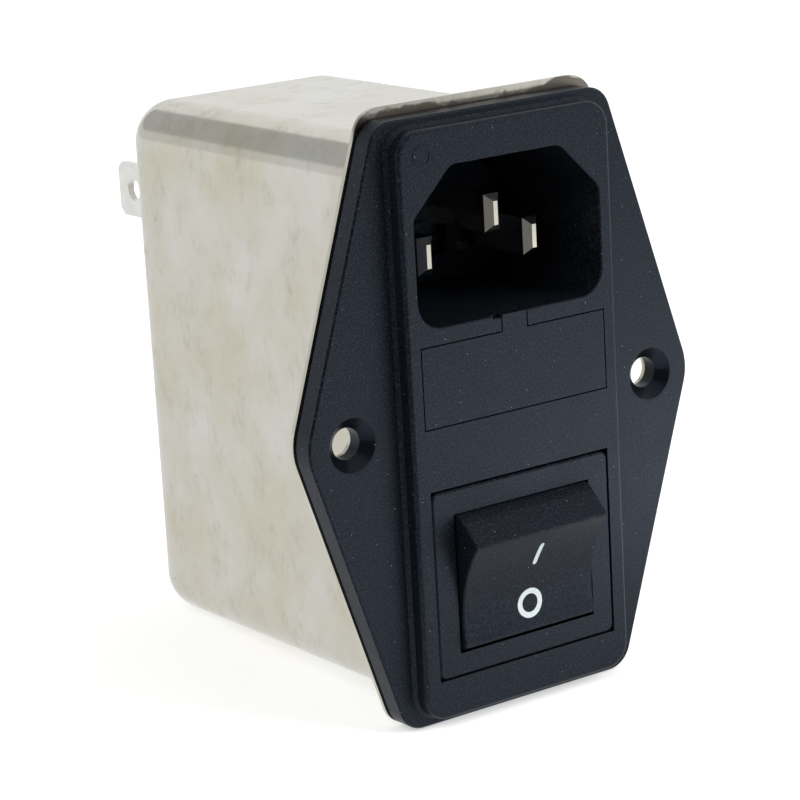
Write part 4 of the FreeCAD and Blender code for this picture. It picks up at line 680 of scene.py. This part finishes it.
class INLET_OT_stage(bpy.types.Operator):
    """Add the camera, the lights, the white surroundings and the floor"""

    bl_idname = "inlet.stage"
    bl_label = "Set the stage"

    def execute(self, context):
        look = context.scene.inlet_stage
        self.camera(context.scene, look)
        softbox("key_softbox", look.key_spot, look.softbox_wide, look.key_power)
        softbox("fill_softbox", look.fill_spot, look.softbox_wide, look.fill_power)
        self.surroundings(context.scene, look)
        self.paper(look)
        context.scene.view_settings.view_transform = "Standard"
        return {"FINISHED"}

    def camera(self, scene, look):
        lens = bpy.data.cameras.new("camera")
        lens.lens = look.lens
        lens.sensor_width = 36.0
        lens.clip_start = 0.01
        holder = bpy.data.objects.new("camera", lens)
        holder.matrix_world = look_at(Vector(look.camera_spot), Vector(look.camera_target),
                                      look.camera_roll)
        scene.collection.objects.link(holder)
        scene.camera = holder

    def surroundings(self, scene, look):
        """White behind the object, and an even light on it. In its gloss a dark panel stands behind
        it at the upper left, the room is dark around the camera, and the ceiling is dim."""
        world = bpy.data.worlds.new("studio")
        world.use_nodes = True
        tree = world.node_tree
        tree.nodes.clear()
        rays = add(tree, "LightPath").outputs
        direction = add(tree, "TexCoord", out="Generated")
        at = add(tree, "SeparateXYZ", {"Vector": direction}).outputs
        left = add(tree, "MapRange", {"Value": at["X"], "From Min": 0.03, "From Max": 0.06,
                                      "To Min": 1.0, "To Max": 0.0}, out="Result")
        behind = add(tree, "MapRange", {"Value": at["Y"], "From Max": 0.2}, out="Result")
        panel = add(tree, "Math", {0: left, 1: behind}, out="Value", operation="MULTIPLY")
        dark = add(tree, "MapRange", {"Value": at["Z"], "From Min": 0.24, "From Max": 0.26,
                                      "To Min": look.panel_foot, "To Max": look.panel}, out="Result")
        towards = add(tree, "VectorMath", {0: direction, 1: look.wall_way}, out="Value",
                      operation="DOT_PRODUCT")
        wall = add(tree, "MapRange", {"Value": towards, "From Max": 0.5, "To Min": look.wall,
                                      "To Max": look.wall_near}, out="Result")
        overhead = add(tree, "MapRange", {"Value": at["Z"], "From Min": 0.6, "From Max": 0.72},
                       out="Result")
        room = add(tree, "Mix", {0: overhead, 2: wall, 3: look.ceiling}, out=0)
        gloss = add(tree, "Mix", {0: panel, 2: room, 3: dark}, out=0)
        light = add(tree, "Mix", {0: rays["Is Glossy Ray"], 2: look.room, 3: gloss}, out=0)
        seen = add(tree, "Math", {0: rays["Is Camera Ray"], 1: rays["Is Transmission Ray"]},
                   out="Value", operation="MAXIMUM")
        light = add(tree, "Mix", {0: seen, 2: light, 3: 1.0}, out=0)
        paint = add(tree, "Background", {"Color": (1, 1, 1, 1), "Strength": light}, out="Background")
        add(tree, "OutputWorld", {"Surface": paint})
        world.cycles.sampling_method = "NONE"
        scene.world = world

    def paper(self, look):
        """The object leans on the foot of its flange and the round rear edge of its can."""
        low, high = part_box("filter_can")
        foot = Vector((0, low.y, low.z))
        rear = Vector((0, high.y - look.rest_in, look.rest_up))
        run = (rear - foot).normalized()
        across = Vector((1, 0, 0))
        up = across.cross(run)
        axes = Matrix((across, run, up)).transposed().to_4x4()
        shape = bmesh.new()
        bmesh.ops.create_grid(shape, x_segments=1, y_segments=1, size=look.floor_half,
                              matrix=Matrix.Translation(foot - up * look.floor_gap) @ axes)
        mesh = bpy.data.meshes.new("floor")
        shape.to_mesh(mesh)
        shape.free()
        floor = bpy.data.objects.new("floor", mesh)
        bpy.context.scene.collection.objects.link(floor)
        floor.data.materials.append(self.white_paper(look))

    def white_paper(self, look):
        """Lit paper sheet: burnt out to white but for the soft shadow. In the object's gloss it
        grows darker towards the left front, where whoever holds the camera stands in its light, and
        a pool of lamplight lies at the right."""
        material, tree, place = start_material("paper_sheet_lit")
        rays = add(tree, "LightPath").outputs
        fibres = add(tree, "TexNoise", {"Vector": place, "Scale": 1 / (2 * MM), "Detail": 3.0},
                     out="Fac")
        paper = add(tree, "Mix", {0: fibres, 6: look.floor, 7: look.floor_fibres}, out=2,
                    data_type="RGBA")
        paper = add(tree, "Mix", {0: rays["Is Glossy Ray"], 6: paper, 7: (0, 0, 0, 1)}, out=2,
                    data_type="RGBA")
        towards = add(tree, "VectorMath", {0: place, 1: look.floor_way}, out="Value",
                      operation="DOT_PRODUCT")
        front = add(tree, "MapRange", {"Value": towards, "From Min": 0.02, "From Max": 0.13,
                                       "To Min": look.floor_front, "To Max": look.floor_near},
                    out="Result")
        at = add(tree, "SeparateXYZ", {"Vector": place}).outputs
        before = add(tree, "MapRange", {"Value": at["Y"], "From Min": -0.035, "From Max": 0.0,
                                        "To Min": 1.0, "To Max": 0.0}, out="Result")
        shine = add(tree, "Mix", {0: before, 2: look.floor_far, 3: front}, out=0)
        away = add(tree, "VectorMath", {0: place, 1: look.pool_spot}, out="Vector",
                   operation="SUBTRACT")
        away = add(tree, "VectorMath", {0: away}, out="Value", operation="LENGTH")
        lamp = add(tree, "MapRange", {"Value": away, "From Min": 0.01, "From Max": 0.07,
                                      "To Min": look.pool, "To Max": 0.0}, out="Result")
        shine = add(tree, "Math", {0: shine, 1: lamp}, out="Value", operation="ADD")
        burn = add(tree, "MapRange", {"Value": rays["Is Camera Ray"], "To Max": look.burn},
                   out="Result")
        shine = add(tree, "Mix", {0: rays["Is Glossy Ray"], 2: burn, 3: shine}, out=0)
        end_material(tree, {"Base Color": paper, "Roughness": 0.9, "Emission Color": (1, 1, 1, 1),
                            "Emission Strength": shine})
        material.cycles.emission_sampling = "NONE"
        return material


# ---------------------------------------------------------------- panel and registration


OPERATORS = (INLET_OT_mouldings, INLET_OT_plating, INLET_OT_inner_parts, INLET_OT_switch_marks,
             INLET_OT_moulding_ring, INLET_OT_stage)
SETTINGS = {
    "inlet_mouldings": MouldingSettings,
    "inlet_plating": PlatingSettings,
    "inlet_inner": InnerSettings,
    "inlet_marks": MarkSettings,
    "inlet_ring": RingSettings,
    "inlet_stage": StageSettings,
}


class INLET_PT_finishes(bpy.types.Panel):
    """The steps of the scene and their settings"""

    bl_idname = "INLET_PT_finishes"
    bl_label = "Panel inlet"
    bl_space_type = "VIEW_3D"
    bl_region_type = "UI"
    bl_category = "Inlet"

    def draw(self, context):
        for operator, name in zip(OPERATORS, SETTINGS):
            box = self.layout.box()
            box.operator(operator.bl_idname)
            settings = getattr(context.scene, name)
            for field in settings.bl_rna.properties:
                if field.identifier not in ("rna_type", "name"):
                    box.prop(settings, field.identifier)


def register():
    for name, settings in SETTINGS.items():
        bpy.utils.register_class(settings)
        setattr(bpy.types.Scene, name, bpy.props.PointerProperty(type=settings))
    for kind in OPERATORS + (INLET_PT_finishes,):
        bpy.utils.register_class(kind)


def unregister():
    for kind in (INLET_PT_finishes,) + OPERATORS[::-1]:
        bpy.utils.unregister_class(kind)
    for name, settings in reversed(SETTINGS.items()):
        delattr(bpy.types.Scene, name)
        bpy.utils.unregister_class(settings)


def main():
    register()
    bpy.ops.inlet.stage()
    bpy.ops.inlet.mouldings()
    bpy.ops.inlet.plating()
    bpy.ops.inlet.inner_parts()
    bpy.ops.inlet.switch_marks()
    bpy.ops.inlet.moulding_ring()


if __name__ == "__main__":
    main()
